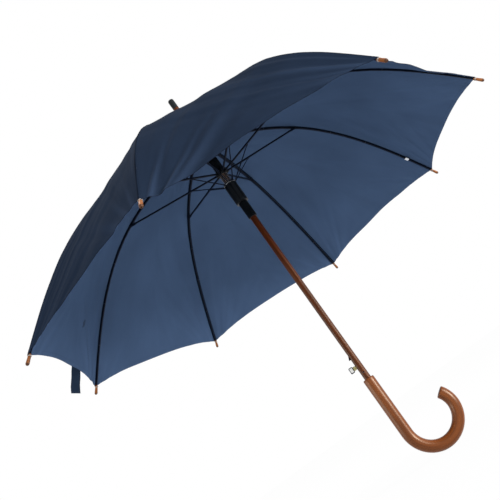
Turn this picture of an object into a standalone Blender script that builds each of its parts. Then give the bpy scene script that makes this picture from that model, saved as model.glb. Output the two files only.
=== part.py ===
"""Automatic stick umbrella: wooden shaft and crook handle, eight folding ribs, cloth canopy.

Metres, +Z up along the shaft, origin at the hand grip. The crook bends towards +X.
Everything is drawn open, which is the rest position.
"""

import math

import bmesh
import bpy
from mathutils import Matrix, Vector

# ---- driving dimensions -------------------------------------------------------------

GAP = 0.0003  # running clearance between neighbouring pieces

# shaft and ferrule
SHAFT_RADIUS = 0.00675
SHAFT_IN_HANDLE = 0.045
FERRULE_TOP_Z = 0.7925
FERRULE_CAP_LENGTH = 0.025
FERRULE_CAP_RADIUS = 0.0066
FERRULE_CAP_WALL = 0.0013
FERRULE_CAP_END = 0.006

# crook handle
HANDLE_RADIUS = 0.01135
HANDLE_TOP_Z = 0.0645
CROOK_CENTRE_Z = -0.0535
CROOK_RADIUS = 0.0505
CROOK_SWEEP = math.radians(164)
NOSE_RADIUS = 0.0435
NOSE_SWEEP = math.radians(53)
HANDLE_EDGE = 0.0012

# rib layout
RIB_COUNT = 8
FIRST_RIB_ANGLE = math.radians(-13.9)
NOTCH_Z = 0.6691
HINGE_RADIUS = 0.0120
INNER_RIB_LENGTH = 0.23055
HUB_SLOPE = math.radians(5.74)
JOINT_SLOPE = math.radians(22.5)
OUTER_RIB_LENGTH = 0.37508
TIP_SLOPE = math.radians(52.59)
RIB_WIDTH = 0.0036
RIB_HEIGHT = 0.0040
RIB_STUB = 0.0022
TONGUE_WIDTH = 0.0016
EYE_RADIUS = 0.0023
RIVET_RADIUS = 0.0010
WIRE_RADIUS = 0.0006

# stretchers and struts
STRETCHER_WIDTH = 0.0032
STRETCHER_HEIGHT = 0.0030
FORK_WALL = 0.0008
FORK_DEPTH = 0.0135
STRUT_PIVOT = 0.068  # from the upper runner's hinge, along the stretcher
STRUT_WIRE = 0.0016
STRUT_EYE_RADIUS = 0.0020
HINGE_WALL = 0.0008  # between a stretcher's slot and its strut's groove

# hubs on the shaft
HUB_WALL = 0.0010  # what stands outside the hinge wire
NOTCH_ABOVE = 0.0050
NOTCH_BELOW = 0.0040
NOTCH_COLLAR_LENGTH = 0.0080
RUNNER_ABOVE = 0.0367
RUNNER_BELOW = 0.0050
RUNNER_FLANGE = 0.0040
RUNNER_BODY_RADIUS = 0.0102
STRUT_RING_Z = 0.5460
STRUT_RING_RADIUS = 0.0118
LOWER_RUNNER_ABOVE = 0.0035
LOWER_RUNNER_RADIUS = 0.0137
LOWER_RUNNER_STEP_Z = 0.4976
LOWER_RUNNER_END_Z = 0.4571
TAIL_RADIUS = 0.0096
EDGE = 0.0008

# opening spring
SPRING_RADIUS = 0.0083
SPRING_WIRE = 0.0006
SPRING_TURNS = 4

# canopy
CLOTH = 0.0008
CORNER_SHORT = 0.0075  # from the tip's end in to the hem, at a rib
HEM_SHORT = 0.0211  # the same for the row that the hem reaches between two ribs
HEM_POWER = 2.6
SAG_SHARE = 0.016  # of the span between two ribs
HUB_HOLE = 0.0090
HUB_BLEND = 0.012
WASHER_RADIUS = 0.0125
WASHER_HEIGHT = 0.0025

# rib tips
TIP_LENGTH = 0.020
TIP_RADIUS = 0.0032
TIP_BASE_RADIUS = 0.0027
TIP_BORE_DEPTH = 0.012

# closure strap, sewn to the cloth over the fifth rib and hanging past the hem
STRAP_RIB = 5
STRAP_WIDTH = 0.019
STRAP_THICKNESS = 0.0012
STRAP_SEWN = 0.030
STRAP_TWIST = 0.035  # in which it turns edge-on to the cloth
STRAP_OVER_HEM = 0.020
STRAP_FREE = 0.044  # past the hem
STRAP_TURN = math.radians(13.0)  # from the rib
STRAP_STAND = 0.0010
STRAP_CORNERS = ((-1, 0), (1, 0), (1, 1), (-1, 1))
STRAP_FALL = Vector((-0.573, 0.2515, -0.780))

# release: a sprung lever in a slot in the shaft
LEVER_Z = 0.0780
LEVER_WIDTH = 0.0028
LATCH_BOTTOM_Z = 0.1100
LATCH_TOP_Z = 0.1210
LATCH_OUT = 0.0098
LEVER_DEPTH = 0.0030
BUTTON_Z = 0.0930
BUTTON_STEM_HEIGHT = 0.0078
BUTTON_STEM_WIDTH = 0.0040
BUTTON_STEM_OUT = 0.0135
BUTTON_OUT = 0.0205
BUTTON_HEIGHT = 0.0112
BUTTON_WIDTH = 0.0085
PIN_RADIUS = 0.0012
WINDOW_WIDTH = 0.0045
WINDOW_Z = 0.4593
WINDOW_HEIGHT = 0.0120

# ---- places that follow from them -----------------------------------------------------

STEP_ANGLE = math.tau / RIB_COUNT
HALF_STEP = STEP_ANGLE / 2
BORE_RADIUS = SHAFT_RADIUS + GAP
EYE_HOLE = WIRE_RADIUS + GAP
RIVET_HOLE = RIVET_RADIUS + GAP
SLOT_FLOOR = HINGE_RADIUS - EYE_RADIUS - GAP
FLANGE_RADIUS = HINGE_RADIUS / math.cos(HALF_STEP) + WIRE_RADIUS + HUB_WALL / 2
CLOTH_HUB_Z = NOTCH_Z + NOTCH_ABOVE + GAP
HUB_EDGE = FLANGE_RADIUS + 2 * EDGE
FERRULE_WOOD_TOP_Z = FERRULE_TOP_Z - FERRULE_CAP_END - GAP
FERRULE_CAP_Z = FERRULE_TOP_Z - FERRULE_CAP_LENGTH
STUB_RADIUS = FERRULE_CAP_RADIUS - FERRULE_CAP_WALL - GAP
TONGUE_SLOT = TONGUE_WIDTH + 2 * GAP
FORK_GAP = RIB_WIDTH + 2 * GAP
FORK_WIDTH = FORK_GAP + 2 * FORK_WALL
STRUT_OFFSET = STRETCHER_WIDTH / 2 + GAP + HINGE_WALL + GAP + STRUT_WIRE / 2
STRUT_OUTSIDE = STRUT_OFFSET + STRUT_WIRE / 2 + GAP
SLOT_Z = LATCH_TOP_Z + 2 * GAP

COLOURS = {
    "wood": ((0.24, 0.10, 0.045), 0.0, 0.38),
    "dark wood": ((0.14, 0.055, 0.028), 0.0, 0.4),
    "tip wood": ((0.42, 0.20, 0.09), 0.0, 0.45),
    "black plastic": ((0.012, 0.013, 0.015), 0.0, 0.42),
    "black steel": ((0.01, 0.012, 0.017), 0.8, 0.4),
    "bright steel": ((0.6, 0.6, 0.58), 1.0, 0.25),
    "navy cloth": ((0.035, 0.062, 0.125), 0.0, 0.8),
}


def material(name):
    """A Principled material from the palette above."""
    found = bpy.data.materials.get(name)
    if found:
        return found
    colour, metallic, roughness = COLOURS[name]
    made = bpy.data.materials.new(name)
    made.use_nodes = True
    shader = made.node_tree.nodes["Principled BSDF"]
    shader.inputs["Base Color"].default_value = (*colour, 1.0)
    shader.inputs["Metallic"].default_value = metallic
    shader.inputs["Roughness"].default_value = roughness
    return made


def add_object(name, mesh, finish, location=(0, 0, 0), parent=None):
    """A named object on this mesh, standing in its parent's frame."""
    mesh.materials.clear()
    mesh.materials.append(material(finish))
    obj = bpy.data.objects.new(name, mesh)
    bpy.context.scene.collection.objects.link(obj)
    obj.location = location
    obj.parent = parent
    return obj


def finish_mesh(bm, name, smooth=True):
    """Close a bmesh into a mesh with outward normals and crisp edges over 35 degrees."""
    bmesh.ops.remove_doubles(bm, verts=bm.verts, dist=1e-7)
    bmesh.ops.recalc_face_normals(bm, faces=bm.faces)
    mesh = bpy.data.meshes.new(name)
    bm.to_mesh(mesh)
    bm.free()
    if smooth:
        mesh.shade_smooth()
        mesh.set_sharp_from_angle(angle=math.radians(35))
    return mesh


def turned(name, profile, sides=24):
    """A closed (radius, z) outline turned round Z."""
    bm = bmesh.new()
    verts = [bm.verts.new((r, 0, z)) for r, z in profile]
    edges = [bm.edges.new((a, b)) for a, b in zip(verts, verts[1:])]
    if profile[0][0] > 0:
        edges.append(bm.edges.new((verts[-1], verts[0])))
    bmesh.ops.spin(
        bm, geom=verts + edges, axis=(0, 0, 1), angle=math.tau, steps=sides, use_merge=True
    )
    bmesh.ops.dissolve_degenerate(bm, edges=bm.edges, dist=1e-7)
    return finish_mesh(bm, name)


def skin(bm, rings, closed=False):
    """Faces between one ring of points and the next, capped at both ends unless it closes."""
    loops = [[bm.verts.new(p) for p in ring] for ring in rings]
    count = len(loops[0])
    follow = loops[1:] + loops[:1] if closed else loops[1:]
    for here, there in zip(loops, follow):
        for k in range(count):
            n = (k + 1) % count
            bm.faces.new((here[k], here[n], there[n], there[k]))
    if not closed:
        bm.faces.new(list(reversed(loops[0])))
        bm.faces.new(loops[-1])


def box_mesh(low, high):
    """A plain box between two corners."""
    bm = bmesh.new()
    bmesh.ops.create_cube(bm, size=1.0)
    size = Vector(high) - Vector(low)
    middle = (Vector(high) + Vector(low)) / 2
    for vert in bm.verts:
        vert.co = Vector(vert.co[k] * size[k] + middle[k] for k in range(3))
    return finish_mesh(bm, "box")


def pin_mesh(radius, start, end, sides=12):
    """A round pin from one point to another."""
    bm = bmesh.new()
    run = Vector(end) - Vector(start)
    turn = run.to_track_quat("Z", "Y").to_matrix().to_4x4()
    bmesh.ops.create_cone(
        bm,
        cap_ends=True,
        segments=sides,
        radius1=radius,
        radius2=radius,
        depth=run.length,
        matrix=Matrix.Translation((Vector(start) + Vector(end)) / 2) @ turn,
    )
    return finish_mesh(bm, "pin")


def combine(mesh, tools, operation="DIFFERENCE"):
    """The mesh with each tool mesh cut from it or joined to it."""
    for tool in tools:
        body = bpy.data.objects.new("body", mesh)
        other = bpy.data.objects.new("tool", tool)
        for obj in (body, other):
            bpy.context.scene.collection.objects.link(obj)
        modifier = body.modifiers.new("combine", "BOOLEAN")
        modifier.operation = operation
        modifier.solver = "EXACT"
        modifier.object = other
        ready = body.evaluated_get(bpy.context.evaluated_depsgraph_get())
        mesh = bpy.data.meshes.new_from_object(ready)
        for obj in (body, other):
            bpy.data.objects.remove(obj)
    mesh.shade_smooth()
    mesh.set_sharp_from_angle(angle=math.radians(35))
    return mesh


def bar(name, stations):
    """A rectangular bar through (point, width, height) stations in the XZ plane."""
    points = [Vector((p[0], 0, p[1])) for p, _, _ in stations]
    rings = []
    for k, (_, width, height) in enumerate(stations):
        apart = [q for q in points[k + 1 :] if (q - points[k]).length > 1e-6]
        ahead = apart[0] if apart else points[k]
        apart = [q for q in points[:k] if (q - points[k]).length > 1e-6]
        behind = apart[-1] if apart else points[k]
        along = (ahead - behind).normalized()
        up = Vector((-along.z, 0, along.x)) * height / 2
        side = Vector((0, width / 2, 0))
        rings.append([points[k] + corner for corner in (-side - up, side - up, side + up, up - side)])
    bm = bmesh.new()
    skin(bm, rings)
    return finish_mesh(bm, name)


# ---- the rib's curve, in the plane of one rib: (distance from the shaft's axis, height) ---


def bend(start, slope_at, length, steps):
    """Points along a bent rod whose slope below the horizontal is known along it."""
    fine = 40
    x, z = start
    points = [(x, z)]
    for k in range(steps):
        for j in range(fine):
            slope = slope_at((k + (j + 0.5) / fine) / steps)
            x += math.cos(slope) * length / steps / fine
            z -= math.sin(slope) * length / steps / fine
        points.append((x, z))
    return points


def inner_slope(t):
    """The load on the inner half grows from nothing at the hub to the stretcher joint."""
    return HUB_SLOPE + (JOINT_SLOPE - HUB_SLOPE) * t * t


def outer_slope(t):
    """The load on the outer half falls off evenly to nothing at the tip."""
    return JOINT_SLOPE + (TIP_SLOPE - JOINT_SLOPE) * (2 * t - t * t)


HINGE = (HINGE_RADIUS, NOTCH_Z)
INNER_CURVE = bend(HINGE, inner_slope, INNER_RIB_LENGTH, 7)
JOINT = INNER_CURVE[-1]
OUTER_CURVE = bend(JOINT, outer_slope, OUTER_RIB_LENGTH, 12)
TIP = OUTER_CURVE[-1]
RUNNER_Z = 2 * JOINT[1] - NOTCH_Z  # equal links, so the runner stays on the shaft
CORNER_RADIUS = TIP[0] - CORNER_SHORT
HEM_RADIUS = TIP[0] - HEM_SHORT
RIB_CURVE = bend(HINGE, inner_slope, INNER_RIB_LENGTH, 24)
RIB_CURVE += bend(JOINT, outer_slope, OUTER_RIB_LENGTH, 40)[1:]


def rib_height(radius):
    """Height and slope of the rib's middle line at this distance from the shaft."""
    for (x0, z0), (x1, z1) in zip(RIB_CURVE, RIB_CURVE[1:]):
        if radius <= x1 or x1 == TIP[0]:
            share = (radius - x0) / (x1 - x0)
            return z0 + (z1 - z0) * share, math.atan2(z0 - z1, x1 - x0)
    return RIB_CURVE[-1][1], TIP_SLOPE


def along(points, distance):
    """The point this far along a line of points, from its start."""
    for (x0, z0), (x1, z1) in zip(points, points[1:]):
        run = math.hypot(x1 - x0, z1 - z0)
        if distance <= run:
            share = distance / run
            return (x0 + (x1 - x0) * share, z0 + (z1 - z0) * share)
        distance -= run
    return points[-1]


def relative(point, origin):
    return (point[0] - origin[0], point[1] - origin[1])


def past_end(points, distance):
    """A point beyond the end of a line, straight on."""
    (x0, z0), (x1, z1) = points[-2:]
    run = math.hypot(x1 - x0, z1 - z0)
    return (x1 + (x1 - x0) / run * distance, z1 + (z1 - z0) / run * distance)


def round_end(points, width, radius):
    """Stations that round a bar off beyond the end of its line of points."""
    return [
        (past_end(points, radius * math.sin(a)), width, 2 * radius * math.cos(a))
        for a in (math.radians(30), math.radians(62))
    ]


# ---- pieces on the shaft --------------------------------------------------------------


def make_shaft():
    bottom = HANDLE_TOP_Z - SHAFT_IN_HANDLE + GAP
    shoulder = FERRULE_CAP_Z - GAP
    mesh = turned(
        "shaft",
        [
            (0, bottom),
            (SHAFT_RADIUS, bottom),
            (SHAFT_RADIUS, CLOTH_HUB_Z + CLOTH + WASHER_HEIGHT + 2 * GAP),
            (FERRULE_CAP_RADIUS, shoulder),
            (STUB_RADIUS, shoulder),
            (STUB_RADIUS, FERRULE_WOOD_TOP_Z),
            (0, FERRULE_WOOD_TOP_Z),
        ],
    )
    half = LEVER_WIDTH / 2 + GAP
    low = LEVER_Z - LEVER_DEPTH
    slot = box_mesh((-2 * SHAFT_RADIUS, -half, low), (LEVER_DEPTH, half, SLOT_Z))
    reach = SHAFT_RADIUS * 2
    cross = pin_mesh(PIN_RADIUS + GAP, (0, -reach, LEVER_Z), (0, reach, LEVER_Z))
    return add_object("shaft", combine(mesh, [slot, cross]), "wood")


def make_ferrule_cap():
    bore = STUB_RADIUS + GAP
    lip = FERRULE_CAP_RADIUS
    profile = [
        (bore, FERRULE_CAP_Z),
        (lip, FERRULE_CAP_Z),
        (lip, FERRULE_TOP_Z - 0.0025),
        (lip - 0.0008, FERRULE_TOP_Z - 0.0006),
        (lip - 0.0022, FERRULE_TOP_Z),
        (0, FERRULE_TOP_Z),
        (0, FERRULE_WOOD_TOP_Z + GAP),
        (bore, FERRULE_WOOD_TOP_Z + GAP),
    ]
    # the outline starts on the axis, as a solid turned piece does
    profile = profile[6:] + profile[:6]
    return add_object("ferrule_cap", turned("ferrule_cap", profile), "black plastic")


def crook_path():
    """Points and directions of the handle's middle line, from its top face to its nose."""
    path = [(Vector((0, 0, HANDLE_TOP_Z - HANDLE_EDGE)), Vector((0, 0, -1)))]
    path.append((Vector((0, 0, CROOK_CENTRE_Z)), Vector((0, 0, -1))))
    centre = Vector((CROOK_RADIUS, 0, CROOK_CENTRE_Z))
    steps = 15
    for k in range(1, steps + 1):
        a = CROOK_SWEEP * k / steps
        out = Vector((-math.cos(a), 0, -math.sin(a)))
        path.append((centre + CROOK_RADIUS * out, Vector((math.sin(a), 0, -math.cos(a)))))
    centre = centre + (CROOK_RADIUS - NOSE_RADIUS) * out
    steps = 4
    for k in range(1, steps + 1):
        a = CROOK_SWEEP + NOSE_SWEEP * k / steps
        out = Vector((-math.cos(a), 0, -math.sin(a)))
        path.append((centre + NOSE_RADIUS * out, Vector((math.sin(a), 0, -math.cos(a)))))
    return path


def make_handle():
    def ring(middle, direction, radius, sides=18):
        side = Vector((0, 1, 0))
        up = side.cross(direction)
        turns = [math.tau * k / sides for k in range(sides)]
        return [middle + radius * (math.cos(a) * side + math.sin(a) * up) for a in turns]

    down = Vector((0, 0, -1))
    top = Vector((0, 0, HANDLE_TOP_Z))
    rings = [
        ring(Vector((0, 0, HANDLE_TOP_Z - SHAFT_IN_HANDLE)), down, BORE_RADIUS),
        ring(top, down, BORE_RADIUS),
        ring(top, down, HANDLE_RADIUS - HANDLE_EDGE),
    ]
    path = crook_path()
    rings += [ring(p, d, HANDLE_RADIUS) for p, d in path]
    nose, ahead = path[-1]
    rings.append(ring(nose + ahead * HANDLE_EDGE, ahead, HANDLE_RADIUS - HANDLE_EDGE))
    bm = bmesh.new()
    skin(bm, rings)
    return add_object("handle", finish_mesh(bm, "handle"), "wood")


def wire_ring(radius, z):
    """The hinge wire: straight across each slot, so it is drawn as a polygon."""
    turns = [math.tau * (j + 0.5) / 6 for j in range(6)]
    rings = []
    for k in range(RIB_COUNT):
        a = FIRST_RIB_ANGLE + HALF_STEP + k * STEP_ANGLE
        mitre = Vector((math.cos(a), math.sin(a), 0)) / math.cos(HALF_STEP)
        middle = mitre * radius + Vector((0, 0, z))
        up = Vector((0, 0, 1))
        rings.append(
            [middle + WIRE_RADIUS * (math.cos(b) * mitre + math.sin(b) * up) for b in turns]
        )
    bm = bmesh.new()
    skin(bm, rings, closed=True)
    return finish_mesh(bm, "wire")


def slot_cutters(floor, y_low, y_high, z_low, z_high):
    """One box for each rib, from the slot's floor outwards."""
    cutters = []
    for k in range(RIB_COUNT):
        cutter = box_mesh((floor, y_low, z_low), (2 * LOWER_RUNNER_RADIUS, y_high, z_high))
        cutter.transform(Matrix.Rotation(FIRST_RIB_ANGLE + k * STEP_ANGLE, 4, "Z"))
        cutters.append(cutter)
    return cutters


def slotted_hub(name, profile, slots, wire, grooves=()):
    """A turned hub with its slots cut, its hinge wire across them and grooves that pass it."""
    mesh = combine(turned(name, profile, 32), slots)
    return combine(combine(mesh, [wire], "UNION"), grooves)


def make_top_notch():
    top = NOTCH_Z + NOTCH_ABOVE
    bottom = NOTCH_Z - NOTCH_BELOW
    collar = SLOT_FLOOR - GAP
    profile = [
        (BORE_RADIUS, bottom - NOTCH_COLLAR_LENGTH),
        (collar, bottom - NOTCH_COLLAR_LENGTH),
        (collar, bottom),
        (FLANGE_RADIUS, bottom),
        (FLANGE_RADIUS, top),
        (BORE_RADIUS, top),
    ]
    half = RIB_WIDTH / 2 + GAP
    slots = slot_cutters(SLOT_FLOOR, -half, half, bottom - GAP, top + GAP)
    mesh = slotted_hub("top_notch", profile, slots, wire_ring(HINGE_RADIUS, NOTCH_Z))
    return add_object("top_notch", mesh, "black plastic")


def make_upper_runner():
    """Its body slides on the shaft; its origin stays on the first stretcher's hinge line."""
    top = RUNNER_Z + RUNNER_ABOVE
    bottom = RUNNER_Z - RUNNER_BELOW
    shelf = RUNNER_Z + RUNNER_FLANGE
    profile = [
        (BORE_RADIUS, bottom),
        (FLANGE_RADIUS, bottom),
        (FLANGE_RADIUS, shelf),
        (RUNNER_BODY_RADIUS, shelf),
        (RUNNER_BODY_RADIUS, top - EDGE),
        (RUNNER_BODY_RADIUS - EDGE, top),
        (BORE_RADIUS, top),
    ]
    half = STRETCHER_WIDTH / 2 + GAP
    slots = slot_cutters(SLOT_FLOOR, -half, half, bottom - GAP, shelf + GAP)
    beside = STRUT_OFFSET - STRUT_WIRE / 2 - GAP
    grooves = slot_cutters(SLOT_FLOOR, beside, STRUT_OUTSIDE, bottom - GAP, shelf + GAP)
    wire = wire_ring(HINGE_RADIUS, RUNNER_Z)
    mesh = slotted_hub("upper_runner", profile, slots, wire, grooves)
    return add_object("upper_runner", mesh, "black plastic")


def make_lower_runner():
    top = STRUT_RING_Z + LOWER_RUNNER_ABOVE
    profile = [
        (BORE_RADIUS, LOWER_RUNNER_END_Z),
        (TAIL_RADIUS - EDGE, LOWER_RUNNER_END_Z),
        (TAIL_RADIUS, LOWER_RUNNER_END_Z + EDGE),
        (TAIL_RADIUS, LOWER_RUNNER_STEP_Z),
        (LOWER_RUNNER_RADIUS - EDGE, LOWER_RUNNER_STEP_Z),
        (LOWER_RUNNER_RADIUS, LOWER_RUNNER_STEP_Z + EDGE),
        (LOWER_RUNNER_RADIUS, top - EDGE),
        (LOWER_RUNNER_RADIUS - EDGE, top),
        (BORE_RADIUS, top),
    ]
    inside = STRUT_OFFSET - STRUT_WIRE / 2 - GAP
    floor = STRUT_RING_RADIUS - STRUT_EYE_RADIUS - GAP
    slot_bottom = STRUT_RING_Z - STRUT_EYE_RADIUS - GAP
    slots = slot_cutters(floor, inside, STRUT_OUTSIDE, slot_bottom, top + GAP)
    half = WINDOW_WIDTH / 2
    slots.append(
        box_mesh((-2 * TAIL_RADIUS, -half, WINDOW_Z), (0, half, WINDOW_Z + WINDOW_HEIGHT))
    )
    wire = wire_ring(STRUT_RING_RADIUS, STRUT_RING_Z)
    mesh = slotted_hub("lower_runner", profile, slots, wire)
    return add_object("lower_runner", mesh, "black plastic")


def make_opening_spring():
    """A coil round the shaft that pushes the two runners apart."""
    low = STRUT_RING_Z + LOWER_RUNNER_ABOVE + GAP + SPRING_WIRE
    high = RUNNER_Z - RUNNER_BELOW - GAP - SPRING_WIRE
    per_turn = 12
    steps = SPRING_TURNS * per_turn
    curve = bpy.data.curves.new("opening_spring", "CURVE")
    curve.dimensions = "3D"
    curve.bevel_depth = SPRING_WIRE
    curve.bevel_resolution = 0
    curve.use_fill_caps = True
    spline = curve.splines.new("POLY")
    spline.points.add(steps)
    for k in range(steps + 1):
        a = math.tau * k / per_turn
        z = low + (high - low) * k / steps
        spline.points[k].co = (SPRING_RADIUS * math.cos(a), SPRING_RADIUS * math.sin(a), z, 1)
    curve.materials.append(material("bright steel"))
    obj = bpy.data.objects.new("opening_spring", curve)
    bpy.context.scene.collection.objects.link(obj)
    return obj


def make_canopy_washer():
    bottom = CLOTH_HUB_Z + CLOTH + GAP
    profile = [
        (BORE_RADIUS, bottom),
        (WASHER_RADIUS, bottom),
        (WASHER_RADIUS - EDGE, bottom + WASHER_HEIGHT * 0.7),
        (WASHER_RADIUS - 3 * EDGE, bottom + WASHER_HEIGHT),
        (BORE_RADIUS, bottom + WASHER_HEIGHT),
    ]
    return add_object("canopy_washer", turned("canopy_washer", profile), "black plastic")


# ---- the release ----------------------------------------------------------------------


def plate(name, outline, width):
    """An (x, z) outline with a thickness across Y."""
    bm = bmesh.new()
    skin(bm, [[Vector((x, y, z)) for x, z in outline] for y in (-width / 2, width / 2)])
    return finish_mesh(bm, name)


def make_release():
    """The latch lever and the button it carries turn together about the release pin."""
    pivot = empty("release_pivot", (0, 0, LEVER_Z))
    hook = LATCH_BOTTOM_Z - LEVER_Z
    crown = LATCH_TOP_Z - LEVER_Z
    inside = -SHAFT_RADIUS + 0.0012
    lever = plate(
        "latch_spring",
        [
            (-LEVER_DEPTH, -LEVER_DEPTH + GAP),
            (LEVER_DEPTH - GAP, -LEVER_DEPTH + GAP),
            (LEVER_DEPTH - GAP, LEVER_DEPTH),
            (-LEVER_DEPTH + 0.001, LEVER_DEPTH * 2),
            (-LEVER_DEPTH + 0.001, crown - 0.001),
            (inside, crown),
            (-LATCH_OUT, hook + 0.0012),
            (-LATCH_OUT, hook),
            (inside, hook),
            (inside, LEVER_DEPTH),
        ],
        LEVER_WIDTH,
    )
    bore = pin_mesh(PIN_RADIUS + GAP, (0, -LEVER_WIDTH, 0), (0, LEVER_WIDTH, 0))
    add_object("latch_spring", combine(lever, [bore]), "black steel", (0, 0, 0), pivot)

    height = BUTTON_Z - LEVER_Z
    half_stem = BUTTON_STEM_HEIGHT / 2
    seat = inside - GAP
    stem = box_mesh(
        (-BUTTON_STEM_OUT - EDGE, -LEVER_WIDTH / 2, height - half_stem),
        (seat, LEVER_WIDTH / 2, height + half_stem),
    )
    block = box_mesh(
        (-BUTTON_STEM_OUT, -BUTTON_STEM_WIDTH / 2, height - half_stem),
        (-SHAFT_RADIUS - 2 * EDGE, BUTTON_STEM_WIDTH / 2, height + half_stem),
    )
    half = BUTTON_HEIGHT / 2
    cap = plate(
        "cap",
        [
            (-BUTTON_STEM_OUT + EDGE, height + half),
            (-BUTTON_OUT + 2 * EDGE, height + half),
            (-BUTTON_OUT, height + half - 2 * EDGE),
            (-BUTTON_OUT, height - half + 2 * EDGE),
            (-BUTTON_OUT + 2 * EDGE, height - half),
            (-BUTTON_STEM_OUT + EDGE, height - half),
        ],
        BUTTON_WIDTH,
    )
    mesh = combine(stem, [block, cap], "UNION")
    add_object("release_button", mesh, "bright steel", (0, 0, 0), pivot)

    reach = SHAFT_RADIUS - EDGE
    pin = pin_mesh(PIN_RADIUS, (0, -reach, LEVER_Z), (0, reach, LEVER_Z))
    add_object("release_pin", pin, "bright steel")


# ---- the folding frame ------------------------------------------------------------------


def empty(name, location, parent=None, turn=0.0):
    """A frame without shape, for pieces to stand in."""
    obj = bpy.data.objects.new(name, None)
    bpy.context.scene.collection.objects.link(obj)
    obj.location = location
    obj.rotation_euler = (0, 0, turn)
    obj.parent = parent
    return obj


def inner_rib_mesh():
    """Eye at the notch's wire, square bar, and a flat tongue at the stretcher joint."""
    curve = [relative(p, HINGE) for p in INNER_CURVE]
    shoulder = INNER_RIB_LENGTH - EYE_RADIUS - 4 * GAP
    stations = round_end([curve[1], curve[0]], RIB_WIDTH, EYE_RADIUS)[::-1]
    stations.append((curve[0], RIB_WIDTH, 2 * EYE_RADIUS))
    stations.append((along(curve, 2 * EYE_RADIUS), RIB_WIDTH, RIB_HEIGHT))
    stations += [(p, RIB_WIDTH, RIB_HEIGHT) for p in curve[1:-1]]
    stations.append((along(curve, shoulder), RIB_WIDTH, RIB_HEIGHT))
    stations.append((along(curve, shoulder), TONGUE_WIDTH, RIB_HEIGHT - 2 * GAP))
    stations.append((curve[-1], TONGUE_WIDTH, 2 * EYE_RADIUS))
    stations += round_end(curve, TONGUE_WIDTH, EYE_RADIUS)
    eye = pin_mesh(EYE_HOLE, (0, -RIB_WIDTH, 0), (0, RIB_WIDTH, 0), 8)
    joint = Vector((curve[-1][0], 0, curve[-1][1]))
    side = Vector((0, RIB_WIDTH, 0))
    rivet = pin_mesh(RIVET_HOLE, joint - side, joint + side, 8)
    return combine(bar("rib_inner", stations), [eye, rivet])


def outer_rib_mesh():
    """Fork over the tongue, tapering bar, and a thin stub inside the wooden tip."""
    curve = [relative(p, JOINT) for p in OUTER_CURVE]
    base = OUTER_RIB_LENGTH - TIP_LENGTH - GAP
    end = OUTER_RIB_LENGTH - TIP_LENGTH + TIP_BORE_DEPTH - 2 * GAP
    slim = RIB_WIDTH * 0.8
    stations = round_end([curve[1], curve[0]], RIB_WIDTH, EYE_RADIUS)[::-1]
    stations.append((curve[0], RIB_WIDTH, 2 * EYE_RADIUS))
    stations.append((along(curve, 2 * EYE_RADIUS), RIB_WIDTH, RIB_HEIGHT))
    for k, point in enumerate(curve[1:-1], 1):
        share = k / (len(curve) - 1)
        if share * OUTER_RIB_LENGTH < base - RIB_HEIGHT:
            width = RIB_WIDTH + (slim - RIB_WIDTH) * share
            height = RIB_HEIGHT + (slim - RIB_HEIGHT) * share
            stations.append((point, width, height))
    stations.append((along(curve, base), slim, slim))
    stations.append((along(curve, base), RIB_STUB, RIB_STUB))
    stations.append((along(curve, end), RIB_STUB, RIB_STUB))
    half = TONGUE_SLOT / 2
    reach = EYE_RADIUS + 3 * GAP
    run = Vector((curve[1][0], 0, curve[1][1])).normalized()
    slot = box_mesh((-2 * reach, -half, -2 * reach), (reach, half, 2 * reach))
    slot.transform(Matrix.Rotation(-math.atan2(run.z, run.x), 4, "Y"))
    rivet = pin_mesh(RIVET_HOLE, (0, -RIB_WIDTH, 0), (0, RIB_WIDTH, 0), 8)
    return combine(bar("rib_outer", stations), [slot, rivet])


def tip_mesh():
    """A turned wooden cap that widens towards its end, bored for the rib's stub."""
    bore = RIB_STUB / math.sqrt(2) + GAP
    profile = [
        (0, -TIP_LENGTH + TIP_BORE_DEPTH),
        (bore, -TIP_LENGTH + TIP_BORE_DEPTH),
        (bore, -TIP_LENGTH),
        (TIP_BASE_RADIUS, -TIP_LENGTH),
        (TIP_BASE_RADIUS, -TIP_LENGTH * 0.55),
        (TIP_RADIUS, -TIP_RADIUS * 1.2),
        (TIP_RADIUS * 0.8, -TIP_RADIUS * 0.3),
        (TIP_RADIUS * 0.35, 0),
        (0, 0),
    ]
    mesh = turned("rib_tip", profile, 10)
    # the cap's axis turns from +Z to the direction of the rib's end
    mesh.transform(Matrix.Rotation(math.pi / 2 + TIP_SLOPE, 4, "Y"))
    return mesh


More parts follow.
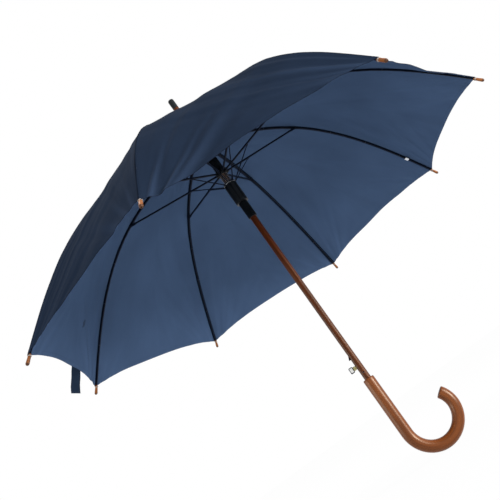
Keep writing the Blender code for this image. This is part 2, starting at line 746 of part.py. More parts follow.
def stretcher_mesh():
    """Eye on the runner's wire, bar, and a riveted fork round the rib."""
    runner = relative((HINGE_RADIUS, RUNNER_Z), JOINT)
    length = math.hypot(*runner)
    line = [runner, (0.0, 0.0)]
    stations = round_end(line[::-1], STRETCHER_WIDTH, EYE_RADIUS)[::-1]
    stations.append((runner, STRETCHER_WIDTH, 2 * EYE_RADIUS))
    stations.append((along(line, 2 * EYE_RADIUS), STRETCHER_WIDTH, STRETCHER_HEIGHT))
    neck = length - FORK_DEPTH - 2 * FORK_WALL
    stations.append((along(line, neck - FORK_WALL), STRETCHER_WIDTH, STRETCHER_HEIGHT))
    stations.append((along(line, neck), FORK_WIDTH, STRETCHER_HEIGHT))
    stations.append((along(line, length - 2 * EYE_RADIUS), FORK_WIDTH, STRETCHER_HEIGHT))
    stations.append(((0.0, 0.0), FORK_WIDTH, 2 * EYE_RADIUS))
    stations += round_end(line, FORK_WIDTH, EYE_RADIUS)
    mesh = bar("stretcher", stations)

    lean = Matrix.Rotation(-math.atan2(-runner[1], -runner[0]), 4, "Y")
    half = FORK_GAP / 2
    slot = box_mesh((-FORK_DEPTH, -half, -2 * RIB_HEIGHT), (2 * RIB_HEIGHT, half, 2 * RIB_HEIGHT))
    slot.transform(lean)
    side = Vector((0, FORK_WIDTH, 0))
    centre = Vector((runner[0], 0, runner[1]))
    eye = pin_mesh(EYE_HOLE, centre - side, centre + side, 8)
    mesh = combine(mesh, [slot, eye])

    rivet_reach = Vector((0, half + FORK_WALL / 2, 0))
    rivet = pin_mesh(RIVET_RADIUS, -rivet_reach, rivet_reach, 8)
    pivot = along(line, STRUT_PIVOT)
    foot = Vector((pivot[0], 0, pivot[1]))
    stub = pin_mesh(RIVET_RADIUS, foot, foot + Vector((0, STRUT_OUTSIDE, 0)), 8)
    return combine(mesh, [rivet, stub], "UNION")


def strut_ends():
    """The strut's pivot on the stretcher and its eye at the lower runner, in the rib plane."""
    runner = (HINGE_RADIUS, RUNNER_Z)
    return along([runner, JOINT], STRUT_PIVOT), (STRUT_RING_RADIUS, STRUT_RING_Z)


def strut_mesh():
    """A flat wire link beside the stretcher: an eye at the top, a half-round seat below."""
    top, bottom = strut_ends()
    foot = relative(bottom, top)
    line = [(0.0, 0.0), foot]
    length = math.hypot(*foot)
    stations = round_end(line[::-1], STRUT_WIRE, STRUT_EYE_RADIUS)[::-1]
    stations.append((line[0], STRUT_WIRE, 2 * STRUT_EYE_RADIUS))
    stations.append((along(line, 2 * STRUT_EYE_RADIUS), STRUT_WIRE, STRUT_WIRE))
    stations.append((along(line, length - 2 * STRUT_EYE_RADIUS), STRUT_WIRE, STRUT_WIRE))
    stations.append((foot, STRUT_WIRE, 2 * STRUT_EYE_RADIUS))
    side = Vector((0, STRUT_WIRE, 0))
    end = Vector((foot[0], 0, foot[1]))
    holes = [
        pin_mesh(RIVET_HOLE, -side, side, 8),
        pin_mesh(EYE_HOLE, end - side, end + side, 8),
    ]
    mesh = combine(bar("strut", stations), holes)
    mesh.transform(Matrix.Translation((0, STRUT_OFFSET, 0)))
    return mesh


# ---- the canopy -------------------------------------------------------------------------


def cloth_clearance(radius):
    """How far the cloth's underside stands off the rib's middle line."""
    share = radius / TIP[0]
    rib = EYE_RADIUS + (TIP_RADIUS - EYE_RADIUS) * share**3 + 3 * GAP
    hub = CLOTH_HUB_Z - rib_height(HUB_EDGE)[0] - EYE_RADIUS - 3 * GAP
    fade = min(1.0, math.exp(-(radius - HUB_EDGE) / HUB_BLEND))
    return rib + hub * fade


def cloth_point(radius, across, lift=0.0):
    """A point of the cloth beside the rib on +X.

    radius is the distance from the shaft at which the cloth's row crosses the ribs, and across
    runs from -1 to 1, one panel's middle to the next one's, with the rib at 0.
    """
    height, slope = rib_height(max(radius, HUB_EDGE))
    middle = radius * math.cos(HALF_STEP)
    inward = abs(across)
    x = radius + (middle * math.cos(HALF_STEP) - radius) * inward
    y = middle * math.sin(HALF_STEP) * across
    span = 2 * max(radius - HUB_EDGE, 0) * math.sin(HALF_STEP)
    sag = SAG_SHARE * span * (1 - (1 - inward) ** 2)
    stand = cloth_clearance(radius) / math.cos(slope)
    out = Vector((x, y, 0)).normalized()
    base = Vector((x, y, height + stand - sag))
    return base + lift * (out * math.sin(slope) + Vector((0, 0, math.cos(slope))))


def hem_radius(across):
    """The row at which the hem cuts the cloth, drawn in between the ribs."""
    from_middle = 1 - abs(across)
    return HEM_RADIUS + (CORNER_RADIUS - HEM_RADIUS) * from_middle**HEM_POWER


def gore_mesh():
    """One rib's share of the cloth, from the middle of one panel to the middle of the next."""
    columns = (-1.0, -0.65, -0.25, 0.0, 0.25, 0.65, 1.0)
    rows = 14
    loops = []
    for lift in (0.0, CLOTH):
        for k in range(rows):
            row = []
            for across in columns:
                share = (max(k - 1, 0) / (rows - 2)) ** 0.9
                radius = HUB_EDGE + (hem_radius(across) - HUB_EDGE) * share
                radius = radius if k else HUB_HOLE
                trim = 1 - GAP / 2 / (radius * math.sin(HALF_STEP))
                row.append(cloth_point(radius, across * trim, lift))
            loops.append(row)
    bm = bmesh.new()
    # each ring runs out along the underside row and back along the top row
    rings = [loops[k] + loops[k + rows][::-1] for k in range(rows)]
    skin(bm, rings)
    return finish_mesh(bm, "canopy_gore")


def strap_ring(place, fall, turned):
    """The strap's corners over this place, turned so far from flat on the cloth to edge-on."""
    half = STRAP_WIDTH / 2
    spans = [
        on_cloth(place + step, CLOTH) - on_cloth(place - step, CLOTH)
        for step in (Vector((half, 0, 0)), Vector((0, half, 0)))
    ]
    side = spans[0].cross(spans[1]).cross(fall).normalized()
    normal = fall.cross(side)
    left, right = (on_cloth(place + side * s, CLOTH) for s in (-half, half))
    middle = (left + right) / 2 + normal * (STRAP_STAND + half * math.sin(turned))
    edge = side * math.cos(turned) - normal * math.sin(turned)
    face = normal * math.cos(turned) + side * math.sin(turned)
    return [middle + edge * half * s + face * STRAP_THICKNESS * u for s, u in STRAP_CORNERS]


def make_strap():
    """Sewn flat to the cloth, then turning edge-on to it and falling free past the hem."""
    turn = FIRST_RIB_ANGLE + (STRAP_RIB - 1) * STEP_ANGLE
    fall = (Matrix.Rotation(-turn, 3, "Z") @ STRAP_FALL).normalized()
    across = STRAP_TURN / HALF_STEP
    hem = cloth_point(hem_radius(across), across)
    down = Vector((fall.x, fall.y, 0))
    sewn = [(STRAP_OVER_HEM + STRAP_TWIST + STRAP_SEWN * k / 2, 0.0) for k in (2, 1, 0)]
    steps = 5
    twist = [
        (STRAP_OVER_HEM + STRAP_TWIST * (1 - k / steps), math.pi / 2 * k / steps)
        for k in range(1, steps + 1)
    ]
    hang = [(0.0, math.pi / 2)]
    rings = [
        strap_ring(hem - down * above, fall, turned) for above, turned in sewn + twist + hang
    ]
    last = rings[-1]
    rings += [[p + fall * STRAP_FREE * k / 2 for p in last] for k in (1, 2)]
    bm = bmesh.new()
    skin(bm, rings)
    return finish_mesh(bm, "tie_strap")


def on_cloth(point, lift):
    """The point of the cloth above or below this one, beside the rib on +X."""
    angle = math.atan2(abs(point.y), point.x)
    distance = math.hypot(point.x, point.y)
    middle = distance * math.cos(HALF_STEP - angle)
    radius = middle / math.cos(HALF_STEP)
    across = 1 - math.tan(HALF_STEP - angle) / math.tan(HALF_STEP)
    return cloth_point(radius, math.copysign(across, point.y), lift)


def make_frame():
    """Eight stations round the shaft, each with its ribs, stretcher, strut, tip and gore."""
    inner, outer, tip = inner_rib_mesh(), outer_rib_mesh(), tip_mesh()
    stretcher, strut, gore = stretcher_mesh(), strut_mesh(), gore_mesh()
    strut_top = strut_ends()[0]
    stations = []
    for k in range(RIB_COUNT):
        n = k + 1
        turn = FIRST_RIB_ANGLE + k * STEP_ANGLE
        station = empty(f"station_{n}", (0, 0, 0), None, turn)
        hinge = (HINGE[0], 0, HINGE[1])
        joint = (JOINT[0], 0, JOINT[1])
        add_object(f"rib_{n}_inner", inner, "black steel", hinge, station)
        add_object(f"rib_{n}_outer", outer, "black steel", joint, station)
        add_object(f"rib_tip_{n}", tip, "tip wood", (TIP[0], 0, TIP[1]), station)
        add_object(f"stretcher_{n}", stretcher, "black steel", joint, station)
        foot = (strut_top[0], 0, strut_top[1])
        add_object(f"strut_{n}", strut, "black steel", foot, station)
        add_object(f"canopy_gore_{n}", gore, "navy cloth", (0, 0, 0), station)
        stations.append(station)
    home = stations[STRAP_RIB - 1]
    add_object("tie_strap", make_strap(), "navy cloth", (0, 0, 0), home)


def main():
    for obj in list(bpy.data.objects):
        bpy.data.objects.remove(obj)
    make_shaft()
    make_ferrule_cap()
    make_handle()
    make_top_notch()
    make_canopy_washer()
    make_upper_runner()
    make_lower_runner()
    make_opening_spring()
    make_release()
    make_frame()


main()
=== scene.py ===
"""Looks of the automatic stick umbrella: cloth, varnished wood, lacquered and plated steel."""

import math

import bmesh
import bpy
import numpy as np
from mathutils import Matrix, Vector


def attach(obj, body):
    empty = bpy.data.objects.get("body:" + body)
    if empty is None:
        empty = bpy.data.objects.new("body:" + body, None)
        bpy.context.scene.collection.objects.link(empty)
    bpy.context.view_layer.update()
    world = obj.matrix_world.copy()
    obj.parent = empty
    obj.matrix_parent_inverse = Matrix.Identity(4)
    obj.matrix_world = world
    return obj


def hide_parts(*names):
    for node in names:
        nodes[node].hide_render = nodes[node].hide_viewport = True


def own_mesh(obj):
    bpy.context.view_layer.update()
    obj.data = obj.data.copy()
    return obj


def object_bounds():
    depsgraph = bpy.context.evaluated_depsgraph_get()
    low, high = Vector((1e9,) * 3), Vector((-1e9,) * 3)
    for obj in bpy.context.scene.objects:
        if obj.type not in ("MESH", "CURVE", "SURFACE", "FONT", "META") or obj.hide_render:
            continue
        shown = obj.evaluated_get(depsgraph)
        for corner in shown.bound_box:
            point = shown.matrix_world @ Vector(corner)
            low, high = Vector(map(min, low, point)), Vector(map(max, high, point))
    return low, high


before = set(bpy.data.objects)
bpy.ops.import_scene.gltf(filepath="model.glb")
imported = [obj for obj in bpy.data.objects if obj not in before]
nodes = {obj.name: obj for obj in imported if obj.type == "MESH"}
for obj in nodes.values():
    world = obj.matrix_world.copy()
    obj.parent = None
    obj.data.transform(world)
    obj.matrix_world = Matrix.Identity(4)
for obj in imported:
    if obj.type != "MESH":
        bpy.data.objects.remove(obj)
start_low, start_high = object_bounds()

# ---- sizes shared with the CAD part, in metres ----

RIBS = 8
STEP = math.tau / RIBS
HALF = STEP / 2
FIRST = math.radians(-13.9)  # the first rib's direction
HINGE_R, NOTCH_Z = 0.0120, 0.6691
INNER_LENGTH, OUTER_LENGTH = 0.23055, 0.37508
HUB_SLOPE, JOINT_SLOPE, TIP_SLOPE = (math.radians(a) for a in (5.74, 22.5, 52.59))
RIB_WIDTH, RIB_HEIGHT = 0.0036, 0.0040
TIP_LENGTH, TIP_R, TIP_BASE_R = 0.020, 0.0032, 0.0027
HANDLE_TOP, CROOK_Z, CROOK_R, HANDLE_R = 0.0645, -0.0535, 0.0505, 0.01135
CROOK_SWEEP, NOSE_R, NOSE_SWEEP = math.radians(164), 0.0435, math.radians(53)
SHAFT_R = 0.00675
CLOTH_HUB_Z, HUB_EDGE, HUB_HOLE = 0.6744, 0.0156, 0.0122
CORNER, HEM, HEM_POWER = 0.5025, 0.4889, 2.6  # the hem's row at the ribs and mid-panel, its curve
SAG = 0.016  # a panel's dip as a share of its span
CLOTH = 0.00035  # from the cloth's middle surface to its outside
HEM_FOLD, HEM_THICK = 0.0065, 0.00025
LOWER_RING_R, LOWER_RING_Z = 0.0118, 0.5460
LOWER_STEP_Z, LOWER_R, TAIL_R = 0.4976, 0.0137, 0.0096
SPRING_R, SPRING_WIRE, SPRING_TURNS, SPRING_LOW = 0.0083, 0.0008, 7, 0.5504
SPRING_TOP = 0.0059  # the spring's top end below the upper runner's hinge
STRUT_AT = 0.068  # from the upper runner's hinge along the stretcher
BRACKET_SIDE, STRUT_SIDE = 0.0029, 0.0016  # rivet heads, sideways from the stretcher's middle
BUTTON_Z = 0.0930
BUTTON_STEM_OUT, BUTTON_OUT = 0.0135, 0.0205
BUTTON_HEIGHT, BUTTON_WIDTH, STEM_HEIGHT, STEM_WIDTH = 0.0112, 0.0085, 0.0078, 0.0040
STRAP_WIDTH, STRAP_SEWN, STRAP_TWIST, STRAP_OVER_HEM, STRAP_FREE = 0.019, 0.030, 0.035, 0.020, 0.044
STRAP_PANEL, STRAP_TURN = 4, math.radians(13.0)
STRAP_FALL = np.array((-0.573, 0.2515, -0.780))  # how the strap hangs


def bend(start, slope_at, length, steps, fine=8):
    """Points of a line of this length that turns down as slope_at says for each share of it."""
    x, z = start
    points = [(x, z)]
    for k in range(steps):
        for j in range(fine):
            slope = slope_at((k + (j + 0.5) / fine) / steps)
            x += math.cos(slope) * length / steps / fine
            z -= math.sin(slope) * length / steps / fine
        points.append((x, z))
    return points


def inner_slope(t):
    """Slope of the rib's inner half, from the hub to the middle joint."""
    return HUB_SLOPE + (JOINT_SLOPE - HUB_SLOPE) * t * t


def outer_slope(t):
    """Slope of the rib's outer half, from the middle joint to the tip."""
    return JOINT_SLOPE + (TIP_SLOPE - JOINT_SLOPE) * (2 * t - t * t)


INNER = bend((HINGE_R, NOTCH_Z), inner_slope, INNER_LENGTH, 60)
OUTER = bend(INNER[-1], outer_slope, OUTER_LENGTH, 90)
RIB = np.array(INNER + OUTER[1:])
RIB_RUN = np.concatenate([[0.0], np.cumsum(np.hypot(*np.diff(RIB, axis=0).T))])
JOINT, TIP = INNER[-1], OUTER[-1]
RUNNER_Z = 2 * JOINT[1] - NOTCH_Z


# ---- small builders ----

UP = np.array([0.0, 0.0, 1.0])


def unit(vector):
    vector = np.asarray(vector, float)
    return vector / np.linalg.norm(vector)


def around(count):
    """Evenly spaced angles of one turn."""
    return [math.tau * j / count for j in range(count)]


def circle(radius, z, sides=48):
    return [(radius * math.cos(a), radius * math.sin(a), z) for a in around(sides)]


class Shape:
    """Forms gathered into one mesh, with UVs in metres round and along each of them."""

    def __init__(self):
        self.verts, self.faces, self.slots, self.uvs = [], [], [], []

    def rings(self, rings, slot=0, closed=False):
        """Quads between rings of points; the rings run the same way round."""
        rings = np.asarray(rings, float)
        count, size = rings.shape[:2]
        start = len(self.verts)
        round_it = np.linalg.norm(np.roll(rings, -1, axis=1) - rings, axis=2)
        round_it = np.concatenate([np.zeros((count, 1)), np.cumsum(round_it, axis=1)[:, :-1]], axis=1)
        middle = rings.mean(axis=1)
        steps = np.linalg.norm(np.diff(middle, axis=0), axis=1)
        along = np.concatenate([[0.0], np.cumsum(steps)])
        self.verts += list(rings.reshape(-1, 3))
        self.uvs += [(u, v) for row, v in zip(round_it, along) for u in row]
        for k in range(count if closed else count - 1):
            here, there = start + k * size, start + (k + 1) % count * size
            for j in range(size):
                n = (j + 1) % size
                self.faces.append((here + j, here + n, there + n, there + j))
                self.slots.append(slot)
        if not closed:
            self.faces.append(tuple(start + j for j in reversed(range(size))))
            self.faces.append(tuple(start + (count - 1) * size + j for j in range(size)))
            self.slots += [slot, slot]

    def lathe(self, profile, place, sides, slot=0):
        """A (radius, z) outline turned round Z and then placed; its ends may be near the axis."""
        rings = [circle(max(radius, 1e-5), z, sides) for radius, z in profile]
        self.rings([[tuple(place @ Vector(p)) for p in ring] for ring in rings], slot)

    def tube(self, path, radius, sides=8, slot=0, closed=False, up=(0, 0, 1)):
        """A round rod along a path; radius may be one number or one for each point."""
        path = np.asarray(path, float)
        radii = np.broadcast_to(radius, (len(path),))
        rings = []
        for k, point in enumerate(path):
            behind = path[k - 1] if closed or k else path[0]
            ahead = path[(k + 1) % len(path)] if closed or k + 1 < len(path) else path[-1]
            run = unit(ahead - behind)
            side = np.cross(run, up)
            if np.linalg.norm(side) < 1e-3:
                side = np.cross(run, (1, 0, 0.1))
            side = unit(side)
            lift = np.cross(side, run)
            rings.append(
                [point + radii[k] * (math.cos(a) * side + math.sin(a) * lift) for a in around(sides)]
            )
        self.rings(rings, slot, closed=closed)

    def make(self, name, mats, crisp=35):
        mesh = bpy.data.meshes.new(name)
        mesh.from_pydata([tuple(v) for v in self.verts], [], self.faces)
        for m in mats:
            mesh.materials.append(m)
        mesh.polygons.foreach_set("material_index", np.asarray(self.slots, np.int32))
        layer = mesh.uv_layers.new(name="metres")
        loops = np.zeros(len(mesh.loops), np.int32)
        mesh.loops.foreach_get("vertex_index", loops)
        layer.data.foreach_set("uv", np.asarray(self.uvs, np.float32)[loops].ravel())
        mesh.shade_smooth()
        mesh.set_sharp_from_angle(angle=math.radians(crisp))
        obj = bpy.data.objects.new(name, mesh)
        bpy.context.scene.collection.objects.link(obj)
        return obj


def stand_along(point, aim):
    """The placing that moves the origin to a point and turns Z to the aim."""
    return Matrix.Translation(point) @ Vector(aim).to_track_quat("Z", "Y").to_matrix().to_4x4()


def outward(obj):
    """Turn every face of a closed mesh to face out."""
    bm = bmesh.new()
    bm.from_mesh(obj.data)
    bmesh.ops.recalc_face_normals(bm, faces=bm.faces)
    bm.to_mesh(obj.data)
    bm.free()
    return obj


def soft_ring(middle, across, face, size, corners, count):
    """A ring of half sizes across and along the face: round for corners of 1, squarer below."""
    points = []
    for a in around(count):
        waves = zip((math.cos(a), math.sin(a)), corners, size)
        x, y = (math.copysign(abs(wave) ** corner, wave) * half for wave, corner, half in waves)
        points.append(middle + across * x + face * y)
    return points


def rib_axes(rib):
    """Radial and tangential directions of a rib."""
    a = FIRST + rib * STEP
    return np.array([math.cos(a), math.sin(a), 0]), np.array([-math.sin(a), math.cos(a), 0])


def rib_place(rib, run):
    """Point, direction, sideways and outward vectors on a rib's middle line."""
    radial, tangent = rib_axes(rib)
    step = 0.002
    point, ahead, behind = (
        radial * np.interp(at, RIB_RUN, RIB[:, 0]) + UP * np.interp(at, RIB_RUN, RIB[:, 1])
        for at in (run, run + step, run - step)
    )
    direction = unit(ahead - behind)
    return point, direction, tangent, np.cross(direction, tangent)


# ---- materials ----


class Tree:
    """A node tree with short ways to add to it."""

    def __init__(self, tree):
        self.tree = tree

    def feed(self, socket, value):
        if isinstance(value, bpy.types.NodeSocket):
            self.tree.links.new(value, socket)
        else:
            socket.default_value = value

    def node(self, kind, inputs=None, **settings):
        made = self.tree.nodes.new(kind)
        for key, value in settings.items():
            setattr(made, key, value)
        for key, value in (inputs or {}).items():
            self.feed(made.inputs[key], value)
        return made

    def math(self, operation, *values, clamp=False):
        inputs = dict(enumerate(values))
        return self.node("ShaderNodeMath", inputs, operation=operation, use_clamp=clamp).outputs[0]

    def show(self, output, share, first, second):
        """Send a mix of two shaders to the tree's own output."""
        inputs = {0: share, 1: first.outputs[0], 2: second.outputs[0]}
        mixed = self.node("ShaderNodeMixShader", inputs)
        self.feed(self.tree.nodes[output].inputs["Surface"], mixed.outputs[0])

    def white_share(self):
        """1 for rays that should see white: straight, in a mirror or through something clear."""
        path = self.node("ShaderNodeLightPath").outputs
        seen = self.math("MAXIMUM", path["Is Camera Ray"], path["Is Glossy Ray"])
        return self.math("MAXIMUM", seen, path["Is Transmission Ray"])


class Nodes(Tree):
    """A material's tree, with the patterns that its looks are made of."""

    def __init__(self, name, roughness=0.5, metallic=0.0, specular=0.5):
        self.material = bpy.data.materials.new(name)
        self.material.use_nodes = True
        super().__init__(self.material.node_tree)
        self.shader = self.tree.nodes["Principled BSDF"]
        self.set("Roughness", roughness)
        self.set("Metallic", metallic)
        self.set("Specular IOR Level", specular)

    def set(self, socket, value):
        self.feed(self.shader.inputs[socket], value)

    def wave(self, value, turns):
        return self.math("SINE", self.math("MULTIPLY", value, turns))

    def noise(self, vector, scale, detail=3.0, roughness=0.5):
        made = self.node(
            "ShaderNodeTexNoise",
            {"Vector": vector, "Scale": scale, "Detail": detail, "Roughness": roughness},
        )
        return made.outputs["Fac"]

    def stretch(self, vector, scale):
        return self.node("ShaderNodeMapping", {"Vector": vector, "Scale": scale}).outputs["Vector"]

    def ramp(self, value, *stops):
        made = self.node("ShaderNodeValToRGB", {"Fac": value})
        ramp = made.color_ramp
        while len(ramp.elements) < len(stops):
            ramp.elements.new(0.5)
        for element, (place, colour) in zip(ramp.elements, stops):
            element.position = place
            element.color = (*colour, 1.0)
        return made.outputs["Color"]

    def tint(self, body, mask, share, colour):
        """This share of a colour laid over the body where the mask is one."""
        mix = self.node("ShaderNodeMix", data_type="RGBA")
        # a colour mix reads its sockets 0, 6 and 7
        self.feed(mix.inputs[0], self.math("MULTIPLY", mask, share, clamp=True))
        self.feed(mix.inputs[6], body)
        self.feed(mix.inputs[7], (*colour, 1.0))
        return mix.outputs[2]

    def bump(self, height, distance, strength=1.0):
        made = self.node(
            "ShaderNodeBump", {"Height": height, "Distance": distance, "Strength": strength}
        )
        self.set("Normal", made.outputs["Normal"])

    def attribute(self, name, output):
        return self.node("ShaderNodeAttribute", attribute_name=name).outputs[output]

    def object_coords(self):
        return self.node("ShaderNodeTexCoord").outputs["Object"]

    def uv(self):
        """Across and along, in metres."""
        uv = self.node("ShaderNodeUVMap", uv_map="metres").outputs["UV"]
        parts = self.node("ShaderNodeSeparateXYZ", {"Vector": uv})
        return uv, parts.outputs[0], parts.outputs[1]


def srgb(*values):
    """Linear colour from 0..255 display values."""
    return tuple(
        v / 255 / 12.92 if v / 255 <= 0.04045 else ((v / 255 + 0.055) / 1.055) ** 2.4 for v in values
    )


def shade(colour, share):
    return tuple(min(1.0, c * share) for c in colour)


WEAVE = 9000.0  # the weave's waves, in radians per metre
STITCHES = 2200.0  # the dashes of a row of stitches, in radians per metre
RIB_STITCHES, HEM_STITCHES = (0.0036, 0.00022), (0.76, 0.014)  # place and half width of a row
ALLOWANCE = 0.0047  # how far the seam allowance reaches from the rib
PLY = 2600.0  # the turns of a thread's ply, in radians per metre


def cloth_material(name, colour, roughness, seam=0.0, satin=0.0, ridge=0.0, thread=1.6, crest_highlight=0.15):
    """Plain woven polyester.

    `seam` darkens the seam allowance beside each rib (real double cloth) with painted shade, and
    `ridge` the fold on it, `satin` is the share of metallic shine, `thread` the stitches' shade and
    the last share paints each fold's crest paler, a painted highlight.
    """
    m = Nodes(name, roughness, satin, 0.0)
    m.set("Specular Tint", (0.5, 0.5, 0.5, 1.0))
    uv, across, along = m.uv()
    from_rib, hem = m.math("ABSOLUTE", across), m.attribute("hem", "Fac")
    weave = m.math("MULTIPLY", m.wave(across, WEAVE), m.wave(along, WEAVE))
    slub = m.noise(m.stretch(uv, (900.0, 60.0, 1.0)), 1.0, 2.0)
    streak = m.noise(m.stretch(uv, (24.0, 5.0, 1.0)), 1.0, 3.0)
    cloudy = m.noise(m.object_coords(), 6.0, 4.0)
    tone = m.math("ADD", m.math("MULTIPLY", cloudy, 0.65), m.math("MULTIPLY", streak, 0.35))
    body = m.ramp(tone, (0.34, shade(colour, 0.86)), (0.66, shade(colour, 1.14)))
    body = m.tint(body, slub, 0.12, shade(colour, 1.5))
    if seam:
        # the seam allowance is real double cloth; its dark tint is painted shade, for the rib's
        # shadow and the light the double layer holds back
        body = m.tint(body, m.math("LESS_THAN", from_rib, ALLOWANCE), seam, shade(colour, 0.12))
    if ridge:
        body = m.tint(body, m.math("LESS_THAN", from_rib, 0.0010), ridge, shade(colour, 0.3))
    # painted highlight: each fold's crest is made paler
    body = m.tint(body, m.attribute("painted_crest_highlight", "Fac"), crest_highlight, shade(colour, 2.2))

    def stitch_row(line, place, width, along_row):
        dash = m.math("GREATER_THAN", m.wave(along_row, STITCHES), -0.35)
        return m.math("MULTIPLY", m.math("COMPARE", line, place, width), dash)

    beside_rib = stitch_row(from_rib, *RIB_STITCHES, along)
    along_hem = stitch_row(hem, *HEM_STITCHES, across)
    stitch = m.math("MAXIMUM", beside_rib, along_hem)
    body = m.tint(body, stitch, 0.6, shade(colour, thread))
    m.set("Base Color", body)
    height = m.math("MULTIPLY_ADD", weave, 0.25, m.math("MULTIPLY", slub, 0.8))
    height = m.math("ADD", height, m.math("MULTIPLY", stitch, 2.0))
    m.bump(height, 0.00005, 0.6)
    return m.material


CLOTH_OUT = cloth_material(
    "navy_cloth_outside", srgb(30, 40, 56), 0.44, seam=0.15, satin=0.20, ridge=0.7, crest_highlight=0.6
)
# the same fabric as the outside in a paler copy: painted light, standing in for light that comes
# through the thin cloth
CLOTH_IN_LIT = cloth_material(
    "navy_cloth_inside_painted_light", srgb(62, 80, 107), 0.50, seam=0.92, satin=0.12, thread=0.7
)
HEM_CLOTH = cloth_material("navy_cloth_edge", srgb(30, 32, 44), 0.6)
STRAP_CLOTH = cloth_material("navy_strap_cloth", srgb(30, 41, 56), 0.5, satin=0.2)
LABEL_CLOTH = cloth_material("white_satin_tape", srgb(226, 228, 232), 0.45, thread=0.9)


def thread_material(name, colour):
    """Twisted sewing thread, with painted shade between its plies and a painted highlight on each
    ply's crown.
    """
    m = Nodes(name, 0.6, 0.0, 0.25)
    _, around, along = m.uv()
    ply = m.wave(m.math("MULTIPLY_ADD", along, 2.0, around), PLY)
    fuzz = m.noise(m.object_coords(), 2500.0, 2.0)
    # painted shade in the grooves and painted highlight on the crowns of the ply
    body = m.ramp(m.math("MULTIPLY_ADD", ply, 0.3, fuzz), (0.3, shade(colour, 0.6)), (0.7, colour))
    m.set("Base Color", body)
    m.bump(ply, 0.00008, 0.7)
    return m.material


NAVY_THREAD = thread_material("navy_thread", srgb(30, 38, 56))
PALE_THREAD = thread_material("pale_thread", srgb(176, 166, 156))


def wood_material(name, dark, middle, light, grain, roughness, gloss=0.4):
    """Stained, varnished wood with its grain along the third grain coordinate."""
    m = Nodes(name, roughness, 0.0, gloss)
    m.set("Specular Tint", (1.0, 0.80, 0.60, 1.0))
    place = m.attribute("grain", "Vector")
    waves = m.noise(m.stretch(place, (60.0, 60.0, 9.0)), 1.0, 2.0)
    shift = m.node("ShaderNodeCombineXYZ", {0: m.math("MULTIPLY", waves, 0.004)}).outputs[0]
    place = m.node("ShaderNodeVectorMath", {0: place, 1: shift}, operation="ADD").outputs[0]
    fibres = m.noise(m.stretch(place, (grain, grain, grain * 0.03)), 1.0, 4.0, 0.55)
    streaks = m.noise(m.stretch(place, (grain * 0.3, grain * 0.3, grain * 0.01)), 1.0, 3.0)
    pores = m.noise(m.stretch(place, (grain * 3.0, grain * 3.0, grain * 0.07)), 1.0, 2.0, 0.7)
    tone = m.math("ADD", m.math("MULTIPLY", fibres, 0.45), m.math("MULTIPLY", streaks, 0.55))
    colour = m.ramp(tone, (0.34, dark), (0.50, middle), (0.66, light))
    pore = m.math("GREATER_THAN", pores, 0.68)
    colour = m.tint(colour, pore, 0.25, shade(dark, 0.6))
    m.set("Base Color", colour)
    m.set("Roughness", m.math("MULTIPLY_ADD", streaks, 0.10, roughness - 0.05))
    m.bump(fibres, 0.00002, 0.04)
    return m.material


SHAFT_WOOD = wood_material(
    "stained_shaft_wood", srgb(44, 16, 3), srgb(65, 26, 5), srgb(82, 37, 9), 700.0, 0.32, 0.24
)
HANDLE_WOOD = wood_material(
    "varnished_handle_wood", srgb(80, 36, 8), srgb(103, 51, 15), srgb(122, 65, 27), 420.0, 0.35, 0.44
)
END_WOOD = wood_material(
    "dark_end_grain", srgb(48, 24, 14), srgb(66, 36, 22), srgb(84, 48, 30), 700.0, 0.55
)
TIP_WOOD = wood_material(
    "rib_tip_wood", srgb(88, 46, 20), srgb(128, 75, 36), srgb(154, 99, 56), 900.0, 0.42, 0.25
)


def plastic_material(name, colour, roughness):
    """Moulded plastic with a fine spark texture and paler rubbed edges."""
    m = Nodes(name, roughness, 0.0, 0.08)
    place = m.object_coords()
    fine = m.noise(place, 900.0, 2.0, 0.6)
    broad = m.noise(place, 60.0, 3.0)
    body = m.ramp(broad, (0.3, shade(colour, 0.75)), (0.7, shade(colour, 1.3)))
    edge = m.node("ShaderNodeNewGeometry").outputs["Pointiness"]
    rubbed = tuple(min(1.0, c * 4 + 0.02) for c in colour)
    m.set("Base Color", m.tint(body, m.math("GREATER_THAN", edge, 0.56), 0.25, rubbed))
    m.set("Roughness", m.math("MULTIPLY_ADD", fine, 0.25, roughness - 0.12))
    m.bump(fine, 0.00006, 0.5)
    return m.material


BLACK_PLASTIC = plastic_material("black_moulded_plastic", (0.004, 0.005, 0.006), 0.30)


def metal_material(name, colour, roughness, metallic=1.0, scratch=0.3, gloss=0.12):
    """Metal, or lacquer on metal, with fine drawn lines and duller patches."""
    m = Nodes(name, roughness, metallic, gloss)
    place = m.object_coords()
    lines = m.noise(m.stretch(place, (1800.0, 1800.0, 120.0)), 1.0, 3.0, 0.6)
    patches = m.noise(place, 90.0, 3.0)
    body = m.ramp(patches, (0.3, shade(colour, 0.8)), (0.7, shade(colour, 1.2)))
    m.set("Base Color", body)
    m.set("Roughness", m.math("MULTIPLY_ADD", lines, scratch, roughness - scratch / 2, clamp=True))
    m.bump(lines, 0.00003, 0.4)
    return m.material


BLACK_STEEL = metal_material("black_lacquered_steel", (0.004, 0.007, 0.016), 0.40, 0.0, 0.2, 0.06)
COIL_STEEL = metal_material("oiled_spring_steel", (0.22, 0.19, 0.17), 0.26, 0.9, 0.2)
BRIGHT_STEEL = metal_material("bright_plated_steel", (0.74, 0.74, 0.72), 0.18, 1.0, 0.12)
GUNMETAL = metal_material("gunmetal_plating", (0.035, 0.035, 0.036), 0.28, 0.9, 0.15)
BRASS = metal_material("brassy_plated_steel", (0.40, 0.36, 0.17), 0.30, 1.0, 0.2)

# ---- the canopy ----

# each panel runs from one rib (b = 0) to the next (b = 1), on rows that cross the ribs at
# a given radius; its lower corners, at the rib tips, are side 0 and side 1

